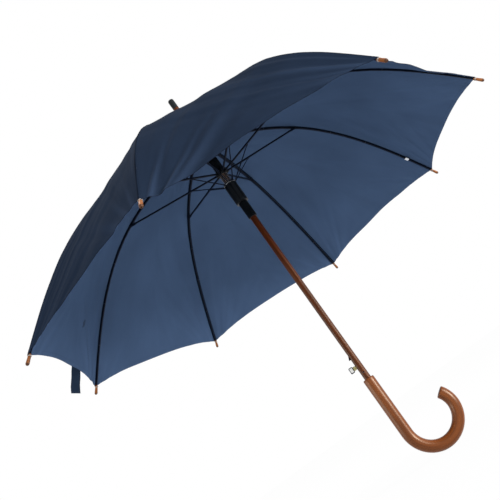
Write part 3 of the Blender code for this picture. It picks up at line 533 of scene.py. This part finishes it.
SWELL = 0.0019  # height of the broad waves
FAN_ORIGIN = 0.040  # the pulls fan out from a point this far past the corner
FAN_START = 0.012  # they rise over this distance from the rib
FAN = (  # angle from the rib, width, length and height of each pull
    (math.radians(19), 0.0058, 0.050, 0.0033),
    (math.radians(41), 0.0068, 0.075, 0.0034),
    (math.radians(53), 0.0115, 0.095, 0.0040),
)
# share of those heights by panel and side; the other corners draw theirs from the scatter
PULL_STRENGTH = {(6, 0): 1.35, (4, 1): 0.8, (7, 0): 0.6, (6, 1): 0.9, (5, 1): 0.7}
LONG_FAN = ((math.radians(27), 0.0085, 0.170, 0.0034),) + FAN[1:]
LONG_CORNER = (6, 1)  # the panel and side whose first pull runs far up the cloth
RIPPLE, RIPPLE_REACH, RIPPLE_TURNS = 0.0009, 0.20, (19, 31, 47)  # height, reach, waves per radian
RIPPLED, CALM = (5, 6), 0.4  # the panels with full ripples, and the others' share
SLACK_PANEL, SLACK_HEM, SLACK_SINK = 6, 0.0080, 0.0075  # the one panel that hangs a little loose
SLACK_POWER, SLACK_PEAK = 6, 0.0567
CLOTH_OVER_RIB = 0.00245  # from the rib's middle line to the cloth's middle surface
TIP_RISE, HUB_FADE = 0.0010, 0.012  # how much higher it is at the tip; how soon the hub's rise ends
COLUMNS, CROWN_ROWS, SKIRT_ROWS = 50, 24, 76


def ease(value):
    """A smooth step from 0 to 1."""
    value = np.clip(value, 0, 1)
    return value * value * (3 - 2 * value)


def scatter(seed, k):
    """A repeatable number from 0 to 1 for each seed and wave."""
    return (math.sin(seed * 12.9898 + k * 78.233) * 43758.5453) % 1.0


def rib_height(radius):
    return np.interp(radius, RIB[:, 0], RIB[:, 1])


def stand_off(radius):
    """How far the cloth stands above the rib's middle line, more near the hub and the tip."""
    share = radius / TIP[0]
    rib = CLOTH_OVER_RIB + TIP_RISE * share**6
    hub = CLOTH_HUB_Z - rib_height(HUB_EDGE) - CLOTH_OVER_RIB
    return rib + hub * np.minimum(1.0, np.exp(-(radius - HUB_EDGE) / HUB_FADE))


def corner_fans(b, radius):
    """For each lower corner: its side, and each point's angle from the rib, reach and rise."""
    for side in (0, 1):
        c = b if side == 0 else 1 - b
        across = c * radius * 2 * math.sin(HALF)
        run = CORNER - radius + FAN_ORIGIN
        yield side, np.arctan2(across, run), np.hypot(across, run), ease(across / FAN_START)


def ripples(panel, b, radius):
    """Faint uneven waves that fan up from the corners over the lower half of the panel."""
    lift = np.zeros_like(b)
    strength = RIPPLE if panel in RIPPLED else CALM * RIPPLE
    for side, angle, reach, rise in corner_fans(b, radius):
        fade = np.exp(-(((reach - FAN_ORIGIN) / RIPPLE_REACH) ** 2)) * rise
        corner = panel * 2 + side
        for k, turns in enumerate(RIPPLE_TURNS):
            phase = math.tau * scatter(corner, k + 60)
            waves = np.sin(turns * angle + phase + 9 * reach * scatter(corner, k + 70))
            lift += strength * waves * reach / 0.15 * fade / (k + 1)
    return lift


def slack(panel, b):
    """How loose a panel hangs, from none at its ribs to one near its first rib."""
    return b * (1 - b) ** SLACK_POWER / SLACK_PEAK if panel == SLACK_PANEL else b * 0


def swells(panel, b, radius):
    """Broad shallow waves of the taut cloth, none at the ribs."""
    hold = np.sin(math.pi * np.clip(b, 0, 1)) ** 0.8
    out = np.clip(radius / TIP[0], 0, 1)
    lift = np.zeros_like(b)
    for k in range(4):
        turns, phase = 1.3 + 1.7 * scatter(panel, k), math.tau * scatter(panel, k + 9)
        run = 2.0 + 3.0 * scatter(panel, k + 20)
        lift += np.sin(turns * math.tau * b + run * out * 2.2 + phase) / (k + 1.6)
    return SWELL * lift * hold * (0.2 + out)


def pulls(panel, b, radius, crest=False):
    """Narrow folds that fan up the panel from its two lower corners, or how near a crest is,
    which marks where the cloth gets its painted highlight.
    """
    lift = np.zeros_like(b)
    for side, angle, reach, rise in corner_fans(b, radius):
        corner = panel * 2 + side
        strength = PULL_STRENGTH.get((panel, side), 0.25 + 0.35 * scatter(corner, 3))
        folds = LONG_FAN if (panel, side) == LONG_CORNER else FAN
        for j, (place, width, length, height) in enumerate(folds):
            place = place + math.radians(5) * (scatter(corner, j + 40) - 0.5)
            length = length * (0.8 + 0.5 * scatter(corner, j + 50))
            past = np.maximum(reach - FAN_ORIGIN, 0) / length
            fade = np.exp(-(past**2)) * rise
            offset = (angle - place) * reach / width
            if crest:
                lift = np.maximum(lift, min(1, strength) * fade * np.exp(-((offset * 1.6) ** 2)))
            else:
                ridge = np.exp(-(offset**2)) - 0.4 * np.exp(-((offset / 2.4) ** 2))
                lift += strength * height * fade * ridge
    return lift


def panel_spot(panel, b):
    """Where b lies between a panel's two ribs seen from above, on a row of radius one."""
    a0 = FIRST + panel * STEP
    a1 = a0 + STEP
    x = (1 - b) * math.cos(a0) + b * math.cos(a1)
    y = (1 - b) * math.sin(a0) + b * math.sin(a1)
    return x, y


def panel_point(panel, b, radius):
    """The cloth's middle surface in one panel; b runs from its first rib to its second."""
    x, y = (radius * share for share in panel_spot(panel, b))
    held = np.maximum(radius, HUB_EDGE)
    span = 2 * np.maximum(radius - HUB_EDGE, 0) * math.sin(HALF)
    height = rib_height(held)
    rise = rib_height(held - 0.001) - rib_height(held + 0.001)
    slope = np.arctan2(rise, 0.002)
    z = height + stand_off(radius) / np.cos(slope) - SAG * span * 4 * b * (1 - b)
    base = np.stack([x, y, z], axis=-1)
    flat = np.hypot(x, y)[..., None]
    out = np.stack([x, y, np.zeros_like(x)], axis=-1) / flat
    normal = out * np.sin(slope)[..., None] + UP * np.cos(slope)[..., None]
    lift = swells(panel, b, radius) + pulls(panel, b, radius) + ripples(panel, b, radius)
    lift = lift - SLACK_SINK * slack(panel, b) * (radius / CORNER) ** 5
    return base + normal * lift[..., None]


def panel_normal(panel, b, radius):
    """Outward normal by differences, one-sided at the ribs so that each seam stays a ridge."""
    eb, er = 0.004, 0.0015
    b0, b1 = np.maximum(b - eb, 0.0), np.minimum(b + eb, 1.0)
    across = panel_point(panel, b1, radius) - panel_point(panel, b0, radius)
    down = panel_point(panel, b, radius + er) - panel_point(panel, b, radius - er)
    normal = np.cross(down, across)
    normal /= np.linalg.norm(normal, axis=-1, keepdims=True)
    return normal


def cloth_over(panel, x, y):
    """Where a point seen from above lies in a panel: its b and its row."""
    a = FIRST + (panel + 0.5) * STEP
    middle = x * math.cos(a) + y * math.sin(a)
    side = y * math.cos(a) - x * math.sin(a)
    return 0.5 + side / (2 * middle * math.tan(HALF)), middle / math.cos(HALF)


def cloth_frame(panel, place):
    """The cloth's outside point under a place, and its outward normal."""
    b, radius = cloth_over(panel, place[0], place[1])
    b, radius = np.array(b), np.array(radius)
    normal = panel_normal(panel, b, radius)
    return panel_point(panel, b, radius) + normal * CLOTH, normal


def hem_row(inward):
    """The hem's row, for a share of the way from a rib to the middle of the panel."""
    return HEM + (CORNER - HEM) * (1 - inward) ** HEM_POWER


def split_row(inward):
    """Where the cloth crosses the upright plane through the rib's middle joint."""
    return JOINT[0] / (1 - math.sin(HALF) ** 2 * inward)


def gore_rows(panel, b, inward, part):
    """Each row's radius at every column, and how many of the last rows are the turned hem."""
    if part == "crown":
        share = np.concatenate([[0.0], np.linspace(0, 1, CROWN_ROWS) ** 0.9 * 0.975 + 0.025])
        top, bottom = np.full_like(inward, HUB_HOLE), split_row(inward)
        return top + (bottom - top) * share[:, None], 0
    share = np.linspace(0, 1, SKIRT_ROWS) ** 0.8
    edge = hem_row(inward) + SLACK_HEM * slack(panel, b)
    top, bottom = split_row(inward), edge - HEM_FOLD
    turned = [(edge - HEM_FOLD * s)[None, :] for s in (0.93, 0.5, 0.12, 0.0)]
    return np.concatenate([top + (bottom - top) * share[:, None], *turned]), len(turned)


def grid_area(points):
    """Area of a grid of points, each cell taken as two triangles."""
    a, b, c, d = points[:-1, :-1], points[1:, :-1], points[:-1, 1:], points[1:, 1:]
    halves = np.cross(b - a, c - a), np.cross(b - d, c - d)
    return float(sum(np.linalg.norm(half, axis=-1).sum() for half in halves) / 2)


def sheet_faces(shape, height, width, flip):
    """Faces of a thin sheet: its outside grid of points, its inside one, and the edge between."""
    count = height * width

    def add(quad, slot):
        shape.faces.append(tuple(quad if flip else reversed(quad)))
        shape.slots.append(slot)

    for r in range(height - 1):
        for c in range(width - 1):
            quad = [r * width + c, r * width + c + 1, (r + 1) * width + c + 1, (r + 1) * width + c]
            add(quad, 0)
            add([count + i for i in reversed(quad)], 1)
    loop = list(range(width))
    loop += [r * width + width - 1 for r in range(1, height)]
    loop += [(height - 1) * width + c for c in range(width - 2, -1, -1)]
    loop += [r * width for r in range(height - 2, 0, -1)]
    for here, there in zip(loop, loop[1:] + loop[:1]):
        add([here, count + here, count + there, there], 2)


def half_gore(rib, side, part):
    """Half of one rib's share of cloth: the crown rides the inner rib, the skirt the outer."""
    inward = np.linspace(0, 1, COLUMNS + 1) ** 1.2
    panel = rib if side > 0 else (rib - 1) % RIBS
    across = inward / 2 if side > 0 else 1 - inward / 2
    rows, hem_rows = gore_rows(panel, across, inward, part)
    fold = np.zeros_like(rows)
    if hem_rows:
        fold[-hem_rows:] = 1.0
        fold[-1] = 0.3
    away, b = (np.broadcast_to(share, rows.shape) for share in (inward, across))
    base = panel_point(panel, b, rows)
    normal = panel_normal(panel, b, rows)
    from_rib = away * rows * math.sin(HALF)
    allowance = 0.0004 * (1 - ease((from_rib - 0.0040) / 0.0015))
    outside = base + normal * (CLOTH + fold * HEM_THICK)[..., None]
    inside = base - normal * (fold * HEM_THICK + allowance)[..., None]
    uv = np.stack([side * from_rib, np.interp(rows, RIB[:, 0], RIB_RUN)], axis=-1).reshape(-1, 2)

    shape = Shape()
    shape.verts = [*outside.reshape(-1, 3), *inside.reshape(-1, 3)]
    shape.uvs = list(np.concatenate([uv, uv]))
    sheet_faces(shape, *rows.shape, flip=side < 0)
    name = f"canopy_{rib + 1}_{'right' if side > 0 else 'left'}_{part}"
    obj = shape.make(name, (CLOTH_OUT, CLOTH_IN_LIT, HEM_CLOTH), 180)
    near_hem = np.clip(1 - (hem_row(away) - rows) / 0.02, 0, 1).reshape(-1)
    # how near each fold's crest lies, the mask for the cloth's painted highlight
    painted_crest_highlight = pulls(panel, b, rows, crest=True).reshape(-1)
    for layer_name, values in (("hem", near_hem), ("painted_crest_highlight", painted_crest_highlight)):
        layer = obj.data.attributes.new(layer_name, "FLOAT", "POINT")
        layer.data.foreach_set("value", np.concatenate([values, values]).astype(np.float32))
    normals = np.concatenate([normal.reshape(-1, 3), -normal.reshape(-1, 3)])
    obj.data.normals_split_custom_set_from_vertices([tuple(n) for n in normals])
    return obj, grid_area(base)


def fold_away(obj):
    """Gives the half gore, or what is sewn to it, a mesh of its own."""
    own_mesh(obj)


def make_canopy():
    for rib in range(RIBS):
        for side in (1, -1):
            for part in ("crown", "skirt"):
                obj, area = half_gore(rib, side, part)
                half = "inner" if part == "crown" else "outer"
                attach(obj, f"rib_{rib + 1}_{half}")
                fold_away(obj)
                if part == "crown":
                    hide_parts(f"canopy_gore_{rib + 1}")


make_canopy()

# ---- the closure strap and the care tape ----


def ribbon_ring(middle, across, face, width, thick):
    """The rounded outline of a flat strap: across is its width's direction."""
    return soft_ring(middle, across, face, (width / 2, thick / 2), (0.25, 0.8), 16)


def strap_root():
    """Where the strap crosses the hem, and how it runs down there, both seen from above."""
    b = STRAP_TURN / STEP
    hem = hem_row(2 * b) * np.array([*panel_spot(STRAP_PANEL, b), 0])
    return hem, np.array([*STRAP_FALL[:2], 0])


def make_strap():
    """Sewn flat to the cloth, then turning edge-on to it and hanging with its end folded up."""
    hem, down = strap_root()
    fall = unit(STRAP_FALL)
    thick, inset = 0.0010, 0.0006
    sewn_steps, free_steps, fold_start = 34, 26, 0.62
    rings = []
    for t in np.linspace(1, 0, sewn_steps + 1):
        above = (STRAP_SEWN + STRAP_TWIST + STRAP_OVER_HEM) * t
        turned = math.pi / 2 * float(ease((STRAP_OVER_HEM + STRAP_TWIST - above) / STRAP_TWIST))
        point, normal = cloth_frame(STRAP_PANEL, hem - down * above)
        side = unit(np.cross(normal, fall))
        normal = np.cross(fall, side)
        lift = 0.0012 + (STRAP_WIDTH / 2 + 0.0004) * math.sin(turned)
        edge = side * math.cos(turned) - normal * math.sin(turned)
        face = normal * math.cos(turned) + side * math.sin(turned)
        middle = point + normal * lift
        rings.append(ribbon_ring(middle, edge, face, STRAP_WIDTH - inset, thick))
    for k in range(1, free_steps + 1):
        t = k / free_steps
        sway = face * 0.0012 * math.sin(math.pi * t) + edge * 0.0004 * math.sin(2.2 * math.pi * t)
        # the last third is folded up double and sewn down
        folded = float(ease((t - fold_start) / 0.02))
        width = STRAP_WIDTH - inset + inset * folded
        height = thick * (1 + 0.9 * folded) * (0.55 if k == free_steps else 1.0)
        place = middle + fall * (STRAP_FREE - inset) * t + sway
        rings.append(ribbon_ring(place, edge, face, width, height))
    shape = Shape()
    shape.rings(rings)
    obj = outward(shape.make("closure_strap", (STRAP_CLOTH,), 60))
    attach(obj, f"rib_{STRAP_PANEL + 1}_outer")
    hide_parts("tie_strap")
    fold_away(obj)


def make_strap_stitches():
    """The crossed rectangle of thread inside the panel, where the strap is sewn on."""
    hem, down = strap_root()
    across = unit(np.cross(UP, down))
    low = STRAP_TWIST + STRAP_OVER_HEM + 0.042
    high = low + 0.012
    corners = ((-1, low), (1, low), (1, high), (-1, high), (-1, low), (1, high), (1, low), (-1, high))
    path = []
    for (s0, d0), (s1, d1) in zip(corners, corners[1:]):
        for k in range(8):
            t = k / 8
            sideways = (s0 + (s1 - s0) * t) * 0.004
            above = d0 + (d1 - d0) * t
            point, normal = cloth_frame(STRAP_PANEL, hem - down * above + across * sideways)
            path.append(point - normal * (CLOTH + 0.0002))
    shape = Shape()
    shape.tube(path, 0.00028, 6)
    obj = outward(shape.make("strap_stitching", (NAVY_THREAD,)))
    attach(obj, f"rib_{STRAP_PANEL + 1}_outer")
    fold_away(obj)


def make_care_tape():
    """A blank white tape sewn into the second rib's seam, folded round the rib."""
    rib, run, width = 1, 0.5200, 0.0085
    centre, direction, tangent, out = rib_place(rib, run)
    section = [(0.0030, 0.0017), (0.0026, -0.0010), (0.0024, -0.0026), (0.0006, -0.0034)]
    section += [(-0.0018, -0.0037), (-0.0044, -0.0040), (-0.0070, -0.0048)]
    rings = []
    for k, (x, y) in enumerate(section):
        before, after = section[max(k - 1, 0)], section[min(k + 1, len(section) - 1)]
        run_dir = unit(tangent * (after[0] - before[0]) + out * (after[1] - before[1]))
        face = np.cross(direction, run_dir)
        middle = centre + tangent * x + out * y
        rings.append(ribbon_ring(middle, direction, face, width, 0.00030))
    shape = Shape()
    shape.rings(rings)
    obj = outward(shape.make("blank_care_tape", (LABEL_CLOTH,), 60))
    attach(obj, f"rib_{rib + 1}_outer")


make_strap()
make_strap_stitches()
make_care_tape()

# ---- wood ----


def set_grain(obj, points):
    """Where each corner of a piece lies in its wood, whose grain runs along Z."""
    layer = obj.data.attributes.new("grain", "FLOAT_VECTOR", "POINT")
    layer.data.foreach_set("vector", np.asarray(points, np.float32).ravel())


def crook_line():
    """Points and directions of the handle's middle line, from its top face to its nose."""
    points, directions = [], []
    for z in np.linspace(HANDLE_TOP - 0.0018, CROOK_Z, 14)[:-1]:
        points.append((0, 0, z))
        directions.append((0, 0, -1))
    out = CROOK_R - NOSE_R
    nose_x = CROOK_R - out * math.cos(CROOK_SWEEP)
    nose_z = CROOK_Z - out * math.sin(CROOK_SWEEP)
    for x, z, radius, angles in (
        (CROOK_R, CROOK_Z, CROOK_R, np.linspace(0, CROOK_SWEEP, 44)),
        (nose_x, nose_z, NOSE_R, np.linspace(CROOK_SWEEP, CROOK_SWEEP + NOSE_SWEEP, 12)[1:]),
    ):
        for a in angles:
            points.append((x - radius * math.cos(a), 0, z - radius * math.sin(a)))
            directions.append((math.sin(a), 0, -math.cos(a)))
    return np.array(points), np.array(directions)


def make_handle():
    """The steam-bent crook: turned end edges, a socket for the shaft and a dark flat nose."""
    sides = 40
    turns = around(sides)
    points, directions = crook_line()
    across = np.array([0.0, 1.0, 0.0])
    shape, grain = Shape(), []

    def ring(point, direction, radius):
        up = np.cross(across, direction)
        return [point + radius * (math.cos(a) * across + math.sin(a) * up) for a in turns]

    down, top = -UP, UP * HANDLE_TOP
    bore = SHAFT_R + 0.0003
    rings = [(top + down * 0.006, down, bore), (top + down * 0.0008, down, bore)]
    rings += [(top, down, bore + 0.0006), (top, down, HANDLE_R - 0.0013)]
    rings += [(top + down * 0.0005, down, HANDLE_R - 0.0005)]
    rings += [(p, d, HANDLE_R) for p, d in zip(points, directions)]
    nose, ahead = points[-1], directions[-1]
    rings.append((nose + ahead * 0.0007, ahead, HANDLE_R - 0.0004))
    rings.append((nose + ahead * 0.0012, ahead, HANDLE_R - 0.0013))
    rings.append((nose + ahead * 0.0012, ahead, 0.0001))
    shape.rings([ring(*r) for r in rings])
    # how far each ring lies along the wood
    run, last = 0.0, rings[0][0]
    for point, _, radius in rings:
        run += float(np.linalg.norm(point - last))
        last = point
        grain += [(radius * math.cos(a), radius * math.sin(a), run) for a in turns]
    dark = (len(rings) - 2) * sides
    shape.slots[dark:] = [1] * (len(shape.slots) - dark)
    obj = outward(shape.make("crook_handle", (HANDLE_WOOD, END_WOOD), 40))
    set_grain(obj, grain)
    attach(obj, "stick")
    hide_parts("handle")


def make_tips():
    """Turned wooden caps with a neck, a swelling end and a dark drilled hole in it."""
    for rib in range(RIBS):
        end = rib_place(rib, RIB_RUN[-1])[0]
        aim = rib_axes(rib)[0] * math.cos(TIP_SLOPE) - UP * math.sin(TIP_SLOPE)
        place = stand_along(end, unit(aim))
        base, neck = TIP_BASE_R, -TIP_LENGTH
        profile = [(0.0012, neck), (base - 0.0004, neck), (base, neck + 0.0006)]
        profile += [(base, neck + 0.0040), (base - 0.0003, neck + 0.0046), (base, neck + 0.0052)]
        profile += [(base + 0.0001, -0.0110), (TIP_R - 0.0001, -0.0058), (TIP_R, -0.0036)]
        wood_end = len(profile)
        profile += [(TIP_R - 0.0003, -0.0020), (TIP_R - 0.0010, -0.0008), (TIP_R - 0.0018, -0.0002)]
        profile += [(0.0009, -0.0001), (0.0007, -0.0006), (0.0006, -0.0020), (0.0, -0.0020)]
        shape = Shape()
        sides = 20
        shape.lathe(profile, place, sides)
        dark = (wood_end - 1) * sides
        shape.slots[dark:] = [1] * (len(shape.slots) - dark)
        obj = outward(shape.make(f"wooden_tip_{rib + 1}", (TIP_WOOD, END_WOOD), 50))
        grain = [
            (r * math.cos(a) + rib, r * math.sin(a), z) for r, z in profile for a in around(sides)
        ]
        set_grain(obj, grain)
        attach(obj, f"rib_{rib + 1}_outer")
        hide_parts(f"rib_tip_{rib + 1}")


make_handle()
make_tips()
set_grain(nodes["shaft"], [v.co for v in nodes["shaft"].data.vertices])

# ---- thread that ties the cloth to the ribs ----


def add_tie(shape, rib, run, shift, size, corner=0.5, count=20):
    """A loop of thread round a rib, at a run from the hub and moved on by the shift."""
    centre, direction, tangent, out = rib_place(rib, run)
    loop = soft_ring(centre + direction * shift, tangent, out, size, (corner, corner), count)
    shape.tube(loop, 0.00035, 6, 0, True, tuple(direction))


def make_ties():
    for rib in range(RIBS):
        for half, runs, spare in (
            ("inner", (0.075, 0.150), 0.0004),
            ("outer", (0.320, 0.410, 0.500), 0.0002),
        ):
            shape = Shape()
            size = RIB_WIDTH / 2 + spare, RIB_HEIGHT / 2 + 0.0004
            for run in runs:
                for shift in (-0.0007, 0.0, 0.0007):
                    add_tie(shape, rib, run, shift, size)
            obj = outward(shape.make(f"rib_{rib + 1}_{half}_ties", (NAVY_THREAD,)))
            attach(obj, f"rib_{rib + 1}_{half}")
        shape = Shape()
        base, radius = RIB_RUN[-1] - TIP_LENGTH, TIP_BASE_R + 0.0003
        for shift in (0.0026, 0.0033, 0.0040):
            add_tie(shape, rib, base + shift, 0.0, (radius, radius), corner=1.0, count=18)
        obj = outward(shape.make(f"tip_{rib + 1}_binding", (PALE_THREAD,)))
        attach(obj, f"rib_{rib + 1}_outer")


make_ties()

# ---- metal and plastic on the shaft ----


def make_runner_rings():
    """A plated wire ring lies in the lower runner's head and a collar under its shoulder."""
    shape = Shape()
    shape.tube(circle(LOWER_R + 0.00005, LOWER_RING_Z), 0.00035, 8, 0, True)
    shape.tube(circle(LOWER_RING_R - 0.0005, LOWER_RING_Z + 0.0040), 0.00040, 8, 0, True)
    low, high = LOWER_STEP_Z - 0.0011, LOWER_STEP_Z - 0.0002
    profile = [(TAIL_R + 0.0002, low), (LOWER_R - 0.0009, low), (LOWER_R - 0.0003, low + 0.0003)]
    profile += [(LOWER_R - 0.0003, high - 0.0003), (LOWER_R - 0.0006, high), (TAIL_R + 0.0002, high)]
    shape.rings([circle(r, z) for r, z in profile], 1, closed=True)
    obj = outward(shape.make("lower_runner_rings", (BRIGHT_STEEL, GUNMETAL)))
    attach(obj, "lower_runner")


def make_spring():
    """The opening spring's coil under the upper runner."""
    high = RUNNER_Z - SPRING_TOP
    count = SPRING_TURNS * 24
    path = []
    for k in range(count + 1):
        a = math.tau * SPRING_TURNS * k / count
        z = SPRING_LOW + (high - SPRING_LOW) * k / count
        path.append((SPRING_R * math.cos(a), SPRING_R * math.sin(a), z))
    shape = Shape()
    shape.tube(path, SPRING_WIRE, 8)
    obj = outward(shape.make("opening_coil", (COIL_STEEL,)))
    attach(obj, "upper_runner")
    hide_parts("opening_spring")
    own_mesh(obj)


def rounded(low, high, bend_r):
    """A rectangle between two corners, with four points round each of its soft corners."""
    (u0, v0), (u1, v1) = low, high
    points = []
    corners = ((u1, v1, -1, -1), (u0, v1, 1, -1), (u0, v0, 1, 1), (u1, v0, -1, 1))
    for turn, (u, v, su, sv) in enumerate(corners):
        for a in (math.radians(turn * 90 + k * 30) for k in range(4)):
            points.append((u + bend_r * (su + math.cos(a)), v + bend_r * (sv + math.sin(a))))
    return points


def rounded_block(shape, low, high, edge, slot):
    """A block with soft edges along Z and round its ends."""
    (x0, y0, z0), (x1, y1, z1) = low, high

    def ring(inset, z):
        outline = rounded((x0 + inset, y0 + inset), (x1 - inset, y1 - inset), edge)
        return [(x, y, z) for x, y in outline]

    rings = [ring(edge, z0), ring(edge * 0.3, z0 + edge * 0.3), ring(0, z0 + edge)]
    rings += [ring(0, z1 - edge), ring(edge * 0.3, z1 - edge * 0.3), ring(edge, z1)]
    shape.rings(rings, slot)


def make_release():
    """A pressed cap with a raised dark rim at each end, on a folded brassy stem."""
    shape = Shape()
    rim = 0.0004
    out, back, wide = -BUTTON_OUT + rim, -BUTTON_STEM_OUT, BUTTON_WIDTH / 2
    low, high = BUTTON_Z - BUTTON_HEIGHT / 2 + rim, BUTTON_Z + BUTTON_HEIGHT / 2 - rim
    rounded_block(shape, (out, -wide + rim, low), (back + rim, wide - rim, high), 0.0009, 0)
    # a dark rim round each end of the cap
    outline = rounded((out, low), (back + 0.0002, high), 0.0009)
    for y in (-wide * 0.92, wide * 0.92):
        shape.tube([(x, y, z) for x, z in outline], 0.0006, 8, 1, True, (0, 1, 0))
    # the stem is a wide plate with a narrower, longer one through it
    low, high = BUTTON_Z - STEM_HEIGHT / 2, BUTTON_Z + STEM_HEIGHT / 2
    wide, narrow, reach = STEM_WIDTH / 2, 0.0014, -SHAFT_R - 0.0016
    rounded_block(shape, (back + 0.0002, -wide, low), (reach, wide, high), 0.0005, 2)
    reach = -SHAFT_R + 0.0008
    rounded_block(
        shape, (back - 0.0004, -narrow, low + 0.0004), (reach, narrow, high - 0.0004), 0.0004, 2
    )
    obj = outward(shape.make("release_cap", (BRIGHT_STEEL, BLACK_STEEL, BRASS), 50))
    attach(obj, "release")
    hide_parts("release_button")


RIVET = [(0, -0.0002), (0.0016, -0.0002), (0.0016, 0.0001)]
RIVET += [(0.0013, 0.0005), (0.0007, 0.0007), (0, 0.00075)]


def make_rivets():
    """Domed heads on the stretcher's fork and where its strut turns."""
    for rib in range(RIBS):
        radial, tangent = rib_axes(rib)
        joint = radial * JOINT[0] + UP * JOINT[1]
        hinge = radial * HINGE_R + UP * RUNNER_Z
        pivot = hinge + unit(joint - hinge) * STRUT_AT
        shape = Shape()
        for point, sign, stand in (
            (joint, 1, BRACKET_SIDE), (joint, -1, BRACKET_SIDE), (pivot, -1, STRUT_SIDE)
        ):
            place = stand_along(point + tangent * sign * stand, tangent * sign)
            shape.lathe(RIVET, place, 12)
        obj = outward(shape.make(f"stretcher_{rib + 1}_rivets", (BLACK_STEEL,)))
        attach(obj, f"stretcher_{rib + 1}")


make_runner_rings()
make_spring()
make_release()
make_rivets()

# ---- finishes of the CAD pieces that stay ----


def dress(obj, material):
    obj.data.materials.clear()
    obj.data.materials.append(material)


PLASTIC = ("top_notch", "canopy_washer", "upper_runner", "lower_runner", "ferrule_cap")
STEEL = ("rib_", "stretcher", "strut", "latch", "release_pin")  # how their names start
for name, node in nodes.items():
    if name == "shaft":
        dress(node, SHAFT_WOOD)
    elif name in PLASTIC:
        dress(node, BLACK_PLASTIC)
    elif name.startswith(STEEL) and "tip" not in name:
        dress(node, BLACK_STEEL)

# ---- floor, light and camera ----


def make_floor():
    """A wide white floor just under the handle, whose own shade keeps the object's shadow."""
    size = 40.0
    z = start_low.z - 0.0005
    shape = Shape()
    shape.verts = [(-size, -size, z), (size, -size, z), (size, size, z), (-size, size, z)]
    shape.uvs = [(0, 0), (1, 0), (1, 1), (0, 1)]
    shape.faces, shape.slots = [(0, 1, 2, 3)], [0]
    m = Nodes("pale_floor", 0.9, 0.0, 0.1)
    m.set("Base Color", (0.92, 0.92, 0.92, 1.0))
    glow = m.node("ShaderNodeEmission", {"Color": (1, 1, 1, 1), "Strength": 1.0})
    m.show("Material Output", m.math("MULTIPLY", m.white_share(), 0.97), m.shader, glow)
    shape.make("floor", (m.material,))


def make_world():
    """Even studio light, seen as plain white."""
    world = bpy.data.worlds.new("studio")
    bpy.context.scene.world = world
    world.use_nodes = True
    m = Tree(world.node_tree)
    studio = m.tree.nodes["Background"]
    m.feed(studio.inputs["Color"], (0.95, 0.97, 1.0, 1.0))
    m.feed(studio.inputs["Strength"], 0.72)
    white = m.node("ShaderNodeBackground", {"Color": (1, 1, 1, 1), "Strength": 1.0})
    m.show("World Output", m.white_share(), studio, white)


def add_light(name, place, target, width, height, power):
    """A rectangular lamp aimed at a target; width and height in metres, power in watts."""
    data = bpy.data.lights.new(name, "AREA")
    data.shape = "RECTANGLE"
    data.size, data.size_y = width, height
    data.energy = power
    light = bpy.data.objects.new(name, data)
    bpy.context.scene.collection.objects.link(light)
    light.location = place
    aim = Vector(target) - Vector(place)
    light.rotation_mode = "QUATERNION"
    light.rotation_quaternion = aim.to_track_quat("-Z", "Y")


def make_camera():
    """The photograph's view, fitted to the rib tips, ribs, hems and shaft."""
    data = bpy.data.cameras.new("camera")
    data.sensor_width, data.lens = 36.0, 46.01
    # the photograph is cropped a little off its lens's middle
    data.shift_x, data.shift_y = -0.0594, -0.0328
    data.clip_start, data.clip_end = 0.05, 200.0
    camera = bpy.data.objects.new("camera", data)
    bpy.context.scene.collection.objects.link(camera)
    right = Vector((0.8187, 0.1355, -0.5580)).normalized()
    back = Vector((-0.0464, -0.9530, -0.2996))
    back = (back - right * back.dot(right)).normalized()
    up = back.cross(right)
    turn = Matrix((right, up, back)).transposed()
    camera.matrix_world = Matrix.Translation((-0.0358, -1.2316, 0.0083)) @ turn.to_4x4()
    bpy.context.scene.camera = camera


make_floor()
make_world()
add_light("key", (2.3, -1.25, 0.42), (0, 0, 0.3), width=0.8, height=0.6, power=84.0)
add_light("fill", (-2.4, -0.7, 0.3), (0, 0, 0.4), width=2.0, height=0.7, power=25.0)
add_light("high", (1.7, -1.5, 1.25), (0, 0, 0.0), width=0.5, height=0.5, power=14.0)
add_light("top", (-0.68, 0.76, 3.1), (-0.1, -0.4, 0.5), width=0.45, height=0.45, power=22.0)
make_camera()
bpy.context.scene.view_settings.view_transform = "Standard"
